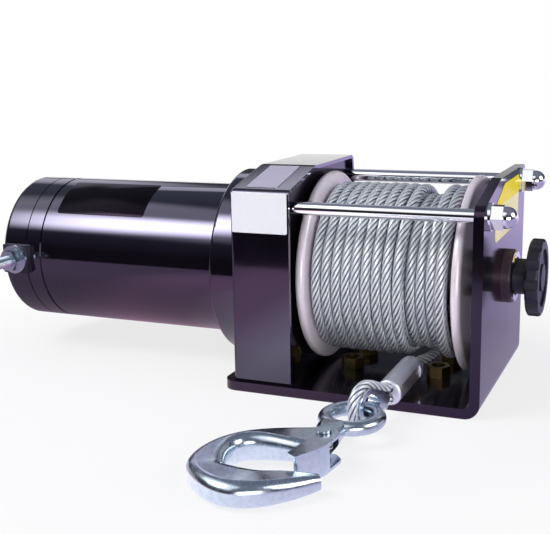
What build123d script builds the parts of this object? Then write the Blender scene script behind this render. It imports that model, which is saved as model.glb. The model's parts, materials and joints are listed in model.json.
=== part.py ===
from build123d import *
import math
import os

# A small electric vehicle winch, in millimetres. +Z is up. The origin lies on the underside of the
# base, below the drum axis and midway between the drum's flanges. +X runs along the drum towards
# the clutch knob, and -Y is the front, where the rope comes out.

# Drum and rope
DRUM_WIDTH = 67.9
BARREL_D = 31.5
FLANGE_D = 93.0
FLANGE_T = 4.4
FLANGE_RIM = 1.9
ROPE_D = 4.8
TURN_GAP = 0.45
ROPE_BELOW_RIM = 7.1
LAYER_DROP = 4.5
ROPE_SEAT_GAP = 0.3
LOWER_STOPS = 5
RAISED_STOPS = 3

# Bracket: base plate and upright, bent from one sheet
SHEET = 4.5
BASE_LEFT_REACH = 34.85
FRONT_MARGIN = 7.5
BACK_MARGIN = 1.5
TOP_MARGIN = 1.0
SHOULDER_DROP = 8.7
UPRIGHT_SLOPE_END = 17.0
UPRIGHT_GAP = 6.7
BASE_CORNER = 7.0
BEND_INSIDE = 2.5
DRUM_CLEAR = 2.0
MOUNT_PITCH_X = 43.0
MOUNT_PITCH_Y = 24.0
MOUNT_HOLE = 6.6
MOUNT_NUT_T = 5.2

# Gearbox hood, end plate and housing
HOOD_WIDTH = 29.2
HOOD_WALL = 1.8
HOOD_TOP_MARGIN = 4.5
HOOD_SHOULDER_DROP = 8.2
HOOD_SLOPE_END = 16.5
HOOD_FRONT_MARGIN = 5.0
HOOD_BACK_MARGIN = 0.0
HOOD_BACK_LEAN = 6.0
HOOD_BACK_KNEE = 36.0
HOOD_EDGE = 1.6
FLANGE_TO_HOOD = 0.4
HOOD_RECESS = 2.2
END_PLATE_T = 5.5
END_PLATE_FIT = 0.1
HOUSING_WALL = 5.2
HOUSING_WIDTH = 15.0
HOUSING_WEB = 1.8
WEB_HOLE_D = 32.0
HOUSING_EDGE = 2.0
CORNER_SCREW_D = 4.0
CORNER_SCREW_HEAD = 7.0
CORNER_SCREW_RISE = 13.0
CORNER_SCREW_INSET = 8.8
SCREW_BOSS_D = 9.0
FRAME_SCREW_D = 4.0
FRAME_SCREW_Y = 30.0

# Tie rods, placed round the drum by their clearance from the flange rim
ROD_D = 6.2
ROD_STEP = 0.15
FRONT_ROD_CLEAR = 7.1
FRONT_ROD_ANGLE = 142.5
BACK_ROD_CLEAR = 3.0
BACK_ROD_ANGLE = 51.2
ROD_WASHER_D = 12.0
ROD_WASHER_T = 1.6
NUT_M6_ACROSS = 10.0
ACORN_HEX = 5.0

# Planetary stages
MODULE = 1.25
SUN_TEETH = 12
PLANET_TEETH = 21
RING_TEETH = 54
PRESSURE_ANGLE = 20.0
ADDENDUM = 0.8
DEDENDUM = 1.0
TOOTH_THINNING = 0.10
RING_WALL = 6.5
PLANETS = 3
PIN_D = 6.0
PIN_WALL = 2.375
STAGE_FACE = (5.6, 6.5, 8.0)
CARRIER_T = (3.0, 3.3, 4.5)
STAGE_GAP = 0.5
RUNNING_FIT = 0.05

# Clutch, built outwards from the hexagon of the drive shaft
HEX_SHAFT = 11.0
HEX_FIT = 0.03
SHAFT_SHORT_OF_FLANGE = 3.4
CLUTCH_TRAVEL = 5.8
DOG_WALL = 1.35
DOG_CLEAR = 0.3
LUG_HEIGHT = 1.25
LUG_CLEAR = 0.25
DOG_LUG_HALF = 16.0
DOG_SLOT_HALF = 19.0
LUG_LENGTH = 4.0
SLOT_LENGTH = 5.5
SLOT_SETBACK = 1.0
LEFT_JOURNAL_WALL = 5.0
RIGHT_JOURNAL_WALL = 1.3
BUSH_WALL_LEFT = 2.45
BUSH_WALL_RIGHT = 1.35
ROD_CLUTCH_D = 8.0
ROD_HEAD_T = 2.0
CUP_WALL = 1.1
COLLAR_OVER_BUSH = 0.3
COLLAR_T = 4.3
COLLAR_SPIGOT = 3.5
COLLAR_WEB = 1.8
COLLAR_WALL = 1.0
CLIP_T = 0.9
KNOB_D = 36.0
KNOB_T = 6.0
KNOB_SCALLOPS = 12
SPRING_WIRE = 0.9
SPRING_MEAN_R = 7.0
SPRING_TURNS = 2

# Motor
CAN_D = 77.0
CAN_WALL = 2.5
CAN_LENGTH = 111.9
CAP_LENGTH = 15.6
CAP_WALL = 3.5
CAP_EDGE = 3.0
GROOVE_FROM_CAP = 9.0
GROOVE_DEPTH = 0.6
FRONT_PLATE_T = 8.0
MOTOR_SHAFT_D = 10.0
SUN_BORE_D = 8.0
REAR_BEARING_D = 18.0
FRONT_BEARING_D = 26.0
BEARING_T = 6.0
AIR_GAP = 1.1
CORE_LENGTH = 60.0
CORE_SLOTS = 12
CORE_SLOT_DEPTH = 7.0
END_TURN_INSET = 3.5
MAGNET_T = 4.4
MAGNET_LENGTH = 70.0
COMMUTATOR_D = 24.0
COMMUTATOR_LENGTH = 13.0
BOLT_D = 4.0
BOLT_WALL_GAP = 0.8
BOLT_HEAD = 7.0
TERMINAL_D = 6.0
TERMINAL_SHANK_D = 5.5
TERMINAL_RELIEF = 0.3
TERMINAL_FREE = 13.7
TERMINAL_INSIDE = 11.5
TERMINAL_FROM_END = 10.5
TERMINAL_BUSH_D = 10.0
INSULATOR_SIDE = 15.0
INSULATOR_T = 3.0
TERMINAL_WASHER_D = 15.0
TERMINAL_WASHER_T = 1.5
TERMINAL_NUT_T = 5.0

# Rope end and hook
FERRULE_D = 11.6
FERRULE_PRESS = 0.9
FERRULE_RIM = 4.0
LEAD_ROUTE = [(17.4, 0.0, 13.0), (17.4, -11.0, 13.0), (13.9, -21.0, 13.6), (13.3, -30.0, 13.2)]
FERRULE_FRONT = (11.6, -62.6, 10.9)
LOOP_YAW = 16.0
LOOP_R = 7.6
LOOP_CENTRE = 18.9
LEG_STRAIGHT = 3.0
ROPE_IN_FERRULE = 8.0
THIMBLE_INNER_R = 5.2
THIMBLE_WIDTH = 6.4
EYE_RING_R = 11.1
EYE_WIRE_R = 3.1
EYE_WIRE_REACH = 18.9
EYE_WIRE_DROP = 1.5
EYE_PULL = 13.0
HOOK_YAW = 21.0
HOOK_TILT = 2.4
HOOK_EYE = (2.5, 55.1)
HOOK_ROUND = 0.42
HOOK_FORGING = [
    (3.0, 44.8, 14.0, 5.8, 0.0),
    (5.2, 37.6, 11.5, 7.0, 0.0),
    (8.0, 29.5, 17.0, 7.6, 0.0),
    (-8.3, 13.4, 11.0, 11.6, 0.0),
    (-14.3, -3.2, 10.3, 12.0, 0.0),
    (-7.2, -17.5, 15.0, 11.0, 0.0),
    (1.0, -20.2, 16.0, 10.6, 0.0),
    (16.2, -13.5, 15.5, 10.0, -0.6),
    (19.8, -5.8, 13.5, 9.0, -1.5),
    (24.0, 1.2, 9.5, 7.5, -2.0),
    (27.2, 6.6, 5.4, 5.6, -2.3),
]
LATCH_PIVOT = (11.5, 27.5)
LATCH_INSIDE = 9.4
LATCH_SHEET = 1.2
LATCH_PIN_D = 4.0
SPRING_SLOT = 4.0
LATCH_WIRE = 1.0
LATCH_COIL_R = 2.9
LATCH_COIL_PITCH = 1.4
LATCH_COIL_TURN = 180.0

# Heights and depths, worked out from the drum
FLANGE_R = FLANGE_D / 2
AXIS_Z = SHEET + DRUM_CLEAR + FLANGE_R
FRONT_REACH = FLANGE_R + FRONT_MARGIN
BACK_REACH = FLANGE_R + BACK_MARGIN
DEPTH = FRONT_REACH + BACK_REACH
UPRIGHT_TOP = AXIS_Z + FLANGE_R + TOP_MARGIN
UPRIGHT_SHOULDER = UPRIGHT_TOP - SHOULDER_DROP
HOOD_TOP = AXIS_Z + FLANGE_R + HOOD_TOP_MARGIN
HOOD_SHOULDER = HOOD_TOP - HOOD_SHOULDER_DROP
HOOD_FRONT = FLANGE_R + HOOD_FRONT_MARGIN
HOOD_BACK = FLANGE_R + HOOD_BACK_MARGIN
ROD_END_D = ROD_D - 2 * ROD_STEP
OUTER_LAYER_R = FLANGE_R - ROPE_BELOW_RIM
LOWER_LAYER_R = OUTER_LAYER_R - LAYER_DROP

# Places along X, worked out from the drum outwards
FLANGE_IN = DRUM_WIDTH / 2
FLANGE_OUT = FLANGE_IN + FLANGE_T
BASE_LEFT = FLANGE_OUT + BASE_LEFT_REACH
UPRIGHT_IN = FLANGE_OUT + UPRIGHT_GAP
UPRIGHT_OUT = UPRIGHT_IN + SHEET
HOOD_RIGHT = -(FLANGE_OUT + FLANGE_TO_HOOD)
HOOD_LEFT = HOOD_RIGHT - HOOD_WIDTH
END_PLATE_RIGHT = HOOD_RIGHT - HOOD_RECESS
END_PLATE_LEFT = END_PLATE_RIGHT - END_PLATE_T
HOUSING_LEFT = HOOD_LEFT - HOUSING_WIDTH
WEB_RIGHT = HOUSING_LEFT + HOUSING_WEB
CAN_LEFT = HOUSING_LEFT - CAN_LENGTH
MOTOR_END = CAN_LEFT - CAP_LENGTH
CAP_INSIDE = MOTOR_END + CAP_WALL
FRONT_PLATE_LEFT = HOUSING_LEFT - FRONT_PLATE_T
CORE_MID = (CAN_LEFT + FRONT_PLATE_LEFT) / 2 + 8.0
SHAFT_END = FLANGE_IN - SHAFT_SHORT_OF_FLANGE
LUGS_REST = FLANGE_IN - 0.6
SLOT_RIGHT = LUGS_REST - SLOT_SETBACK
DOG_LEFT = LUGS_REST - 2 * CLUTCH_TRAVEL
ROD_HEAD_LEFT = LUGS_REST + LUG_LENGTH + 0.1
DOG_RIGHT = ROD_HEAD_LEFT + ROD_HEAD_T + 2.4
JOURNAL_RIGHT = UPRIGHT_OUT - 0.45
COLLAR_RIGHT = UPRIGHT_OUT + COLLAR_T
CLIP_RIGHT = COLLAR_RIGHT + CLIP_T
KNOB_BACK = CLIP_RIGHT + CLUTCH_TRAVEL + 0.3
KNOB_FRONT = KNOB_BACK + KNOB_T
TERMINAL_X = MOTOR_END + TERMINAL_FROM_END

# Round sizes that follow from the gears, the hexagon and the motor can
RING_TIP_R = MODULE * (RING_TEETH / 2 - ADDENDUM)
RING_OUTER_D = MODULE * (RING_TEETH + 2 * DEDENDUM) + 2 * RING_WALL
HOUSING_D = RING_OUTER_D + 2 * (RUNNING_FIT + HOUSING_WALL)
ORBIT_R = MODULE * (SUN_TEETH + PLANET_TEETH) / 2
CARRIER_D = 2 * (ORBIT_R + PIN_D / 2 + PIN_WALL)
DOG_BODY_D = HEX_SHAFT / math.cos(math.pi / 6) + 2 * DOG_WALL
DOG_BORE_D = DOG_BODY_D + 2 * DOG_CLEAR
DOG_LUG_D = DOG_BORE_D + 2 * LUG_HEIGHT
DOG_SLOT_D = DOG_LUG_D + 2 * LUG_CLEAR
DOG_COUNTERBORE_D = DOG_SLOT_D + 0.2
LEFT_JOURNAL_D = DOG_BORE_D + 2 * LEFT_JOURNAL_WALL
RIGHT_JOURNAL_D = DOG_COUNTERBORE_D + 2 * RIGHT_JOURNAL_WALL
LEFT_BUSH_D = LEFT_JOURNAL_D + 2 * (RUNNING_FIT + BUSH_WALL_LEFT)
RIGHT_BUSH_D = RIGHT_JOURNAL_D + 2 * (RUNNING_FIT + BUSH_WALL_RIGHT)
CUP_D = DOG_BODY_D - 2 * CUP_WALL
ROD_HEAD_D = CUP_D - 2 * DOG_CLEAR
COLLAR_D = RIGHT_BUSH_D + 2 * COLLAR_OVER_BUSH
SPIGOT_D = DOG_COUNTERBORE_D - 2 * DOG_CLEAR
NECK_D = SPIGOT_D - 2 * COLLAR_WALL
CAN_INSIDE_D = CAN_D - 2 * CAN_WALL
CORE_D = CAN_INSIDE_D - 2 * (MAGNET_T + AIR_GAP)
BOLT_CIRCLE_R = CAN_INSIDE_D / 2 - BOLT_D / 2 - BOLT_WALL_GAP


def round_the_drum(clear, size, degrees):
    """Y and Z of a rod that clears the flange rim, by its angle up from +Y."""
    radius = FLANGE_R + clear + size / 2
    angle = math.radians(degrees)
    return radius * math.cos(angle), AXIS_Z + radius * math.sin(angle)


FRONT_ROD = round_the_drum(FRONT_ROD_CLEAR, ROD_D, FRONT_ROD_ANGLE)
BACK_ROD = round_the_drum(BACK_ROD_CLEAR, ROD_D, BACK_ROD_ANGLE)


def x_plane(x, y=0.0, z=AXIS_Z):
    """A sketch plane across the drum axis, with local axes along +Y and +Z."""
    return Plane((x, y, z), x_dir=(0, 1, 0), z_dir=(1, 0, 0))


def y_plane(x, y, z):
    """A sketch plane across +Y, with local axes along -X and +Z."""
    return Plane((x, y, z), x_dir=(-1, 0, 0), z_dir=(0, 1, 0))


def prism(face, x0, x1, y=0.0, z=AXIS_Z):
    """A flat face carried along X from x0 to x1."""
    return extrude(x_plane(x0, y, z) * face, x1 - x0)


def disc(diameter, x0, x1, y=0.0, z=AXIS_Z):
    """A round bar along X."""
    return prism(Circle(diameter / 2), x0, x1, y, z)


def ring(outer, inner, x0, x1, y=0.0, z=AXIS_Z):
    """A round tube along X."""
    return disc(outer, x0, x1, y, z) - disc(inner, x0, x1, y, z)


def hexagon(across, x0, x1, y=0.0, z=AXIS_Z):
    """A hexagonal bar along X."""
    return prism(RegularPolygon(across / 2, 6, major_radius=False), x0, x1, y, z)


def y_bar(diameter, x, z, y0, y1):
    """A round bar along Y."""
    return extrude(y_plane(x, y0, z) * Circle(diameter / 2), y1 - y0)


def group(pieces):
    """Separate solids that share one node."""
    result = pieces[0]
    for piece in pieces[1:]:
        result += piece
    return result


def save(name, shape):
    export_step(shape, f"parts/{name}.step")


# Bracket and fasteners

def mount_places():
    for sx in (-1, 1):
        for sy in (-1, 1):
            yield sx * MOUNT_PITCH_X / 2, sy * MOUNT_PITCH_Y / 2


def frame_screw_x():
    return (END_PLATE_LEFT + END_PLATE_RIGHT) / 2


def make_base_bracket():
    corners = [
        (-BASE_LEFT, 0),
        (UPRIGHT_OUT, 0),
        (UPRIGHT_OUT, UPRIGHT_TOP + 1),
        (UPRIGHT_IN, UPRIGHT_TOP + 1),
        (UPRIGHT_IN, SHEET),
        (-BASE_LEFT, SHEET),
    ]
    radii = [0, BEND_INSIDE + SHEET, 0, 0, BEND_INSIDE, 0]
    section = make_face(FilletPolyline(*corners, radius=radii, close=True))
    back = Plane((0, BACK_REACH, 0), x_dir=(1, 0, 0), z_dir=(0, -1, 0))
    bracket = extrude(back * section, DEPTH)
    side = [
        (-FRONT_REACH, -1),
        (BACK_REACH, -1),
        (BACK_REACH, UPRIGHT_TOP),
        (-UPRIGHT_SLOPE_END, UPRIGHT_TOP),
        (-FRONT_REACH, UPRIGHT_SHOULDER),
    ]
    outline = make_face(FilletPolyline(*side, radius=[0, 0, 4, 14, 6], close=True))
    bracket &= prism(outline, -BASE_LEFT - 1, UPRIGHT_OUT + 1, z=0)
    left_corners = bracket.edges().filter_by(Axis.Z).sort_by(Axis.X)[:2]
    bracket = fillet(left_corners, BASE_CORNER)
    for x, y in mount_places():
        bracket -= Pos(x, y, SHEET / 2) * Cylinder(MOUNT_HOLE / 2, 2 * SHEET)
    for y in (-FRAME_SCREW_Y, FRAME_SCREW_Y):
        bracket -= frame_screw(y, 0.05)
    bracket -= disc(RIGHT_BUSH_D, UPRIGHT_IN - 1, UPRIGHT_OUT + 1)
    for y, z in (FRONT_ROD, BACK_ROD):
        bracket -= disc(ROD_END_D + 0.4, UPRIGHT_IN - 1, UPRIGHT_OUT + 1, y, z)
    return bracket


def frame_screw(y, grow=0.0):
    """A countersunk screw from below the base up into the end plate's lower edge."""
    shank = FRAME_SCREW_D / 2 + grow
    head = FRAME_SCREW_D + grow
    sink = FRAME_SCREW_D / 2
    place = Pos(frame_screw_x(), y, 0)
    cone = place * Pos(0, 0, sink / 2) * Cone(head, shank, sink)
    bar = place * Pos(0, 0, (sink + SHEET + 9) / 2) * Cylinder(shank, SHEET + 9 - sink)
    return cone + bar


def make_base_nuts():
    """Nuts over the four mounting holes, with the holes left open."""
    nuts = []
    hexagon_face = RegularPolygon(NUT_M6_ACROSS / 2, 6, major_radius=False)
    for x, y in mount_places():
        body = Pos(x, y, SHEET) * extrude(hexagon_face, MOUNT_NUT_T)
        bore = Pos(x, y, SHEET) * Cylinder(MOUNT_HOLE / 2, 4 * MOUNT_NUT_T)
        nuts.append(body - bore)
    return group(nuts)


def make_tie_rods():
    rods = []
    for y, z in (FRONT_ROD, BACK_ROD):
        middle = disc(ROD_D, END_PLATE_RIGHT, UPRIGHT_IN, y, z)
        ends = disc(ROD_END_D, END_PLATE_LEFT, UPRIGHT_OUT + ROD_WASHER_T + ACORN_HEX, y, z)
        rods.append(middle + ends)
    return group(rods)


def make_rod_washers():
    places = (FRONT_ROD, BACK_ROD)
    x1 = UPRIGHT_OUT + ROD_WASHER_T
    return group([ring(ROD_WASHER_D, ROD_END_D + 0.1, UPRIGHT_OUT, x1, y, z) for y, z in places])


def make_acorn_nuts():
    nuts = []
    seat = UPRIGHT_OUT + ROD_WASHER_T
    dome_r = NUT_M6_ACROSS / 2 - 0.3
    for y, z in (FRONT_ROD, BACK_ROD):
        body = hexagon(NUT_M6_ACROSS, seat, seat + ACORN_HEX, y, z)
        body += disc(2 * dome_r, seat + ACORN_HEX, seat + ACORN_HEX + 1, y, z)
        ball = Pos(seat + ACORN_HEX + 1, y, z) * Sphere(dome_r)
        body += ball & disc(2 * dome_r + 1, seat + ACORN_HEX + 1, seat + ACORN_HEX + 1 + dome_r, y, z)
        bore = disc(ROD_END_D, seat - 1, seat + ACORN_HEX, y, z)
        nuts.append(body - bore)
    return group(nuts)


# Hood, end plate and gear housing

def hood_outline(inset, floor):
    """The hood's side outline, drawn in by a wall thickness and standing on a given height."""
    rise = HOOD_TOP - HOOD_SHOULDER
    run = HOOD_FRONT - HOOD_SLOPE_END
    slope = math.atan2(rise, run)
    shoulder = HOOD_SHOULDER + inset * (math.tan(slope) - 1 / math.cos(slope))
    knee = HOOD_SLOPE_END + inset * math.tan(slope / 2)
    corners = [
        (-HOOD_FRONT + inset, floor),
        (HOOD_BACK - inset, floor),
        (HOOD_BACK - inset, HOOD_TOP - HOOD_BACK_KNEE),
        (HOOD_BACK - HOOD_BACK_LEAN - inset, HOOD_TOP - inset),
        (-knee, HOOD_TOP - inset),
        (-HOOD_FRONT + inset, shoulder),
    ]
    return make_face(FilletPolyline(*corners, radius=[0, 0, 20, 4 - inset, 14, 3.2 - inset], close=True))


def corner_screw_places():
    z = SHEET + CORNER_SCREW_RISE
    return (-HOOD_FRONT + CORNER_SCREW_INSET, z), (HOOD_BACK - CORNER_SCREW_INSET, z)


def make_gear_hood():
    hood = prism(hood_outline(0, SHEET), HOOD_LEFT, HOOD_RIGHT, z=0)
    left_rim = hood.faces().sort_by(Axis.X)[0].edges().filter_by(lambda e: e.center().Z > SHEET + 1)
    hood = fillet(left_rim, HOOD_EDGE)
    hood -= prism(hood_outline(HOOD_WALL, SHEET - 1), HOOD_LEFT + HOOD_WALL, HOOD_RIGHT + 1, z=0)
    hood -= disc(RING_OUTER_D + 2, HOOD_LEFT - 1, HOOD_LEFT + HOOD_WALL + 1)
    for y, z in corner_screw_places():
        hood += disc(SCREW_BOSS_D, HOOD_LEFT + HOOD_WALL - 0.5, END_PLATE_LEFT, y, z)
        hood -= disc(CORNER_SCREW_D, HOOD_LEFT + HOOD_WALL, END_PLATE_LEFT + 1, y, z)
    return hood


def make_end_plate():
    plate = prism(hood_outline(HOOD_WALL + END_PLATE_FIT, SHEET), END_PLATE_LEFT, END_PLATE_RIGHT, z=0)
    plate -= disc(LEFT_BUSH_D, END_PLATE_LEFT - 1, END_PLATE_RIGHT + 1)
    for y, z in (FRONT_ROD, BACK_ROD):
        plate -= disc(ROD_END_D, END_PLATE_LEFT - 1, END_PLATE_RIGHT + 1, y, z)
    for y, z in corner_screw_places():
        plate -= disc(CORNER_SCREW_D + 0.3, END_PLATE_LEFT - 1, END_PLATE_RIGHT + 1, y, z)
    for y in (-FRAME_SCREW_Y, FRAME_SCREW_Y):
        plate -= frame_screw(y)
    return plate


def make_end_plate_screws():
    screws = []
    for y, z in corner_screw_places():
        shank = disc(CORNER_SCREW_D, HOOD_LEFT + HOOD_WALL, END_PLATE_RIGHT, y, z)
        head = hexagon(CORNER_SCREW_HEAD, END_PLATE_RIGHT, END_PLATE_RIGHT + 2.8, y, z)
        screws.append(shank + head)
    return group(screws)


def make_drum_bushes():
    left = ring(LEFT_BUSH_D, LEFT_JOURNAL_D + 2 * RUNNING_FIT, END_PLATE_LEFT, END_PLATE_RIGHT)
    right = ring(RIGHT_BUSH_D, RIGHT_JOURNAL_D + 2 * RUNNING_FIT, UPRIGHT_IN, UPRIGHT_OUT)
    return group([left, right])


def make_gear_housing():
    housing = disc(HOUSING_D, HOUSING_LEFT, HOOD_LEFT)
    rim = housing.edges().filter_by(GeomType.CIRCLE).sort_by(Axis.X)[0]
    housing = fillet(rim, HOUSING_EDGE)
    housing -= disc(RING_OUTER_D + 2 * RUNNING_FIT, WEB_RIGHT, HOOD_LEFT + 1)
    housing -= disc(WEB_HOLE_D, HOUSING_LEFT - 1, WEB_RIGHT + 1)
    for y, z in bolt_places():
        housing -= disc(BOLT_D, HOUSING_LEFT - 1, WEB_RIGHT + 1, y, z)
    return housing


# Planetary gears

def tooth_half_angle(teeth, radius):
    """Half the angle that an involute tooth takes up at a radius."""
    pressure = math.radians(PRESSURE_ANGLE)
    pitch_r = MODULE * teeth / 2
    base_r = pitch_r * math.cos(pressure)
    local = math.acos(min(1.0, base_r / radius))
    involute = math.tan(local) - local
    return math.pi / (2 * teeth) + math.tan(pressure) - pressure - involute


def toothed_face(teeth, root_r, tip_r, thinning):
    """A toothed outline with straight flanks, one tooth centred on local +X."""
    points = []
    for k in range(teeth):
        centre = 2 * math.pi * k / teeth
        root_half = tooth_half_angle(teeth, root_r) - thinning / root_r
        tip_half = tooth_half_angle(teeth, tip_r) - thinning / tip_r
        for radius, turn in ((root_r, -root_half), (tip_r, -tip_half), (tip_r, tip_half), (root_r, root_half)):
            points.append((radius * math.cos(centre + turn), radius * math.sin(centre + turn)))
    return make_face(Polyline(*points, close=True))


def outer_gear_face(teeth):
    pitch_r = MODULE * teeth / 2
    return toothed_face(teeth, pitch_r - MODULE * DEDENDUM, pitch_r + MODULE * ADDENDUM, TOOTH_THINNING)


def ring_space_face():
    pitch_r = MODULE * RING_TEETH / 2
    return toothed_face(RING_TEETH, RING_TIP_R, pitch_r + MODULE * DEDENDUM, -1.5 * TOOTH_THINNING)


def stage_places():
    """Left and right ends of each stage's planets and carrier plate."""
    places = []
    x = WEB_RIGHT + STAGE_GAP
    for face, plate in zip(STAGE_FACE, CARRIER_T):
        carrier_left = x + face + STAGE_GAP
        places.append((x, x + face, carrier_left, carrier_left + plate))
        x = carrier_left + plate + STAGE_GAP
    return places


def planet_angle(index):
    return 2 * math.pi * index / PLANETS


def planet_centre(index):
    angle = planet_angle(index)
    return ORBIT_R * math.cos(angle), AXIS_Z + ORBIT_R * math.sin(angle)


def make_ring_gear():
    body = disc(RING_OUTER_D, WEB_RIGHT, END_PLATE_LEFT)
    return body - prism(ring_space_face(), WEB_RIGHT - 1, END_PLATE_LEFT + 1)


def make_sun_gear():
    left, right, _, _ = stage_places()[0]
    return prism(outer_gear_face(SUN_TEETH), left, right) - disc(SUN_BORE_D, left - 1, right + 1)


def make_planet(stage, index):
    left, right, _, _ = stage_places()[stage]
    y, z = planet_centre(index)
    face = Rot(0, 0, math.degrees(planet_angle(index))) * outer_gear_face(PLANET_TEETH)
    return prism(face, left, right, y, z) - disc(PIN_D + 2 * RUNNING_FIT, left - 1, right + 1, y, z)


def make_carrier(stage):
    """A carrier plate with its planet pins, and the next stage's sun on its far side."""
    left, right, plate_left, plate_right = stage_places()[stage]
    carrier = disc(CARRIER_D, plate_left, plate_right)
    for index in range(PLANETS):
        y, z = planet_centre(index)
        carrier += disc(PIN_D, left + 0.2, plate_left + 1, y, z)
    if stage < 2:
        sun_right = stage_places()[stage + 1][1] + STAGE_GAP / 2
        carrier += prism(outer_gear_face(SUN_TEETH), plate_right - 0.5, sun_right)
    else:
        carrier -= hexagon(HEX_SHAFT + 2 * HEX_FIT, plate_left - 1, plate_right + 1)
    return carrier


def make_drive_shaft():
    return hexagon(HEX_SHAFT, stage_places()[2][2], SHAFT_END)


# Motor

def bolt_places():
    return (0.0, AXIS_Z + BOLT_CIRCLE_R), (0.0, AXIS_Z - BOLT_CIRCLE_R)


def make_motor_can():
    can = ring(CAN_D, CAN_INSIDE_D, CAN_LEFT, HOUSING_LEFT)
    groove_x = CAN_LEFT + GROOVE_FROM_CAP
    half = GROOVE_DEPTH
    return can - ring(CAN_D + 2, CAN_D - 2 * GROOVE_DEPTH, groove_x - half, groove_x + half)


def make_motor_end_cap():
    cap = disc(CAN_D, MOTOR_END, CAN_LEFT)
    rim = cap.edges().filter_by(GeomType.CIRCLE).sort_by(Axis.X)[0]
    cap = fillet(rim, CAP_EDGE)
    cap -= disc(CAN_INSIDE_D - 2, CAP_INSIDE, CAN_LEFT + 1)
    cap += disc(REAR_BEARING_D + 8, CAP_INSIDE, CAP_INSIDE + BEARING_T + 2)
    cap -= disc(REAR_BEARING_D, CAP_INSIDE + 1.5, CAP_INSIDE + BEARING_T + 3)
    cap -= ring(CAN_D + 2, CAN_D - 2 * GROOVE_DEPTH, CAN_LEFT - GROOVE_DEPTH, CAN_LEFT + 1)
    for y, z in bolt_places():
        cap -= disc(BOLT_D + 0.4, MOTOR_END - 1, CAN_LEFT + 1, y, z)
    for side in (-1, 1):
        cap -= y_bar(TERMINAL_BUSH_D, TERMINAL_X, AXIS_Z, side * 15, side * CAN_D)
    return cap


def make_through_bolts():
    bolts = []
    for y, z in bolt_places():
        head = hexagon(BOLT_HEAD, MOTOR_END - 3, MOTOR_END, y, z)
        bolts.append(head + disc(BOLT_D, MOTOR_END, WEB_RIGHT, y, z))
    return group(bolts)


def make_motor_front_plate():
    plate = disc(CAN_INSIDE_D - 0.1, FRONT_PLATE_LEFT, HOUSING_LEFT)
    plate -= disc(FRONT_BEARING_D, FRONT_PLATE_LEFT - 1, FRONT_PLATE_LEFT + BEARING_T)
    plate -= disc(MOTOR_SHAFT_D + 4, FRONT_PLATE_LEFT, HOUSING_LEFT + 1)
    for y, z in bolt_places():
        plate -= disc(BOLT_D + 0.4, FRONT_PLATE_LEFT - 1, HOUSING_LEFT + 1, y, z)
    return plate


def make_motor_bearings():
    rear_left = CAP_INSIDE + 1.5
    rear = ring(REAR_BEARING_D, MOTOR_SHAFT_D + 2 * RUNNING_FIT, rear_left, rear_left + BEARING_T)
    front_right = FRONT_PLATE_LEFT + BEARING_T
    front = ring(FRONT_BEARING_D, MOTOR_SHAFT_D + 2 * RUNNING_FIT, FRONT_PLATE_LEFT, front_right)
    return group([rear, front])


def commutator_left():
    return CAN_LEFT + 5


def make_armature_shaft():
    sun_left, sun_right, _, _ = stage_places()[0]
    thick = disc(MOTOR_SHAFT_D, CAP_INSIDE + 2, sun_left - 0.5)
    return thick + disc(SUN_BORE_D, sun_left - 0.5, sun_right)


def make_armature_core():
    left = CORE_MID - CORE_LENGTH / 2
    right = CORE_MID + CORE_LENGTH / 2
    core = ring(CORE_D, MOTOR_SHAFT_D, left, right)
    slot = Pos(CORE_D / 2, 0) * Rectangle(2 * CORE_SLOT_DEPTH, 4)
    slots = [Rot(0, 0, 360 * k / CORE_SLOTS) * slot for k in range(CORE_SLOTS)]
    for face in slots:
        core -= prism(face, left - 1, right + 1)
    return core


def make_armature_windings():
    """The copper end turns, one ring at each end of the core."""
    half = CORE_LENGTH / 2
    rings = []
    for side in (-1, 1):
        near = CORE_MID + side * half
        far = near + side * 7
        outer = CORE_D - 2 * END_TURN_INSET
        rings.append(ring(outer, MOTOR_SHAFT_D + 10, min(near, far), max(near, far)))
    return group(rings)


def make_commutator():
    left = commutator_left()
    return ring(COMMUTATOR_D, MOTOR_SHAFT_D, left, left + COMMUTATOR_LENGTH)


def make_brush_plate():
    plate = ring(CAN_INSIDE_D - 0.1, COMMUTATOR_D + 4, CAN_LEFT + 0.5, CAN_LEFT + 3.5)
    for y, z in bolt_places():
        plate -= disc(BOLT_D + 0.4, CAN_LEFT - 1, CAN_LEFT + 5, y, z)
    return plate


def make_brushes():
    brushes = []
    inner = COMMUTATOR_D / 2
    length = 12
    face = Pos(inner + length / 2, 0) * Rectangle(length, 6)
    for k in range(4):
        turned = Rot(0, 0, 45 + 90 * k) * face
        block = prism(turned, CAN_LEFT + 3.5, CAN_LEFT + 12)
        brushes.append(block - disc(COMMUTATOR_D + 0.2, CAN_LEFT, CAN_LEFT + 20))
    return group(brushes)


def make_field_magnets():
    left = CORE_MID - MAGNET_LENGTH / 2
    shell = ring(CAN_INSIDE_D, CAN_INSIDE_D - 2 * MAGNET_T, left, left + MAGNET_LENGTH)
    magnets = []
    reach = CAN_D
    half = math.radians(35)
    for k in range(4):
        middle = math.radians(45 + 90 * k)
        edge = [(reach * math.cos(middle + turn), reach * math.sin(middle + turn)) for turn in (-half, half)]
        wedge = make_face(Polyline((0, 0), edge[0], edge[1], close=True))
        magnets.append(shell & prism(wedge, left, left + MAGNET_LENGTH))
    return group(magnets)


def terminal_seat():
    return CAN_D / 2 + INSULATOR_T


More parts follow.
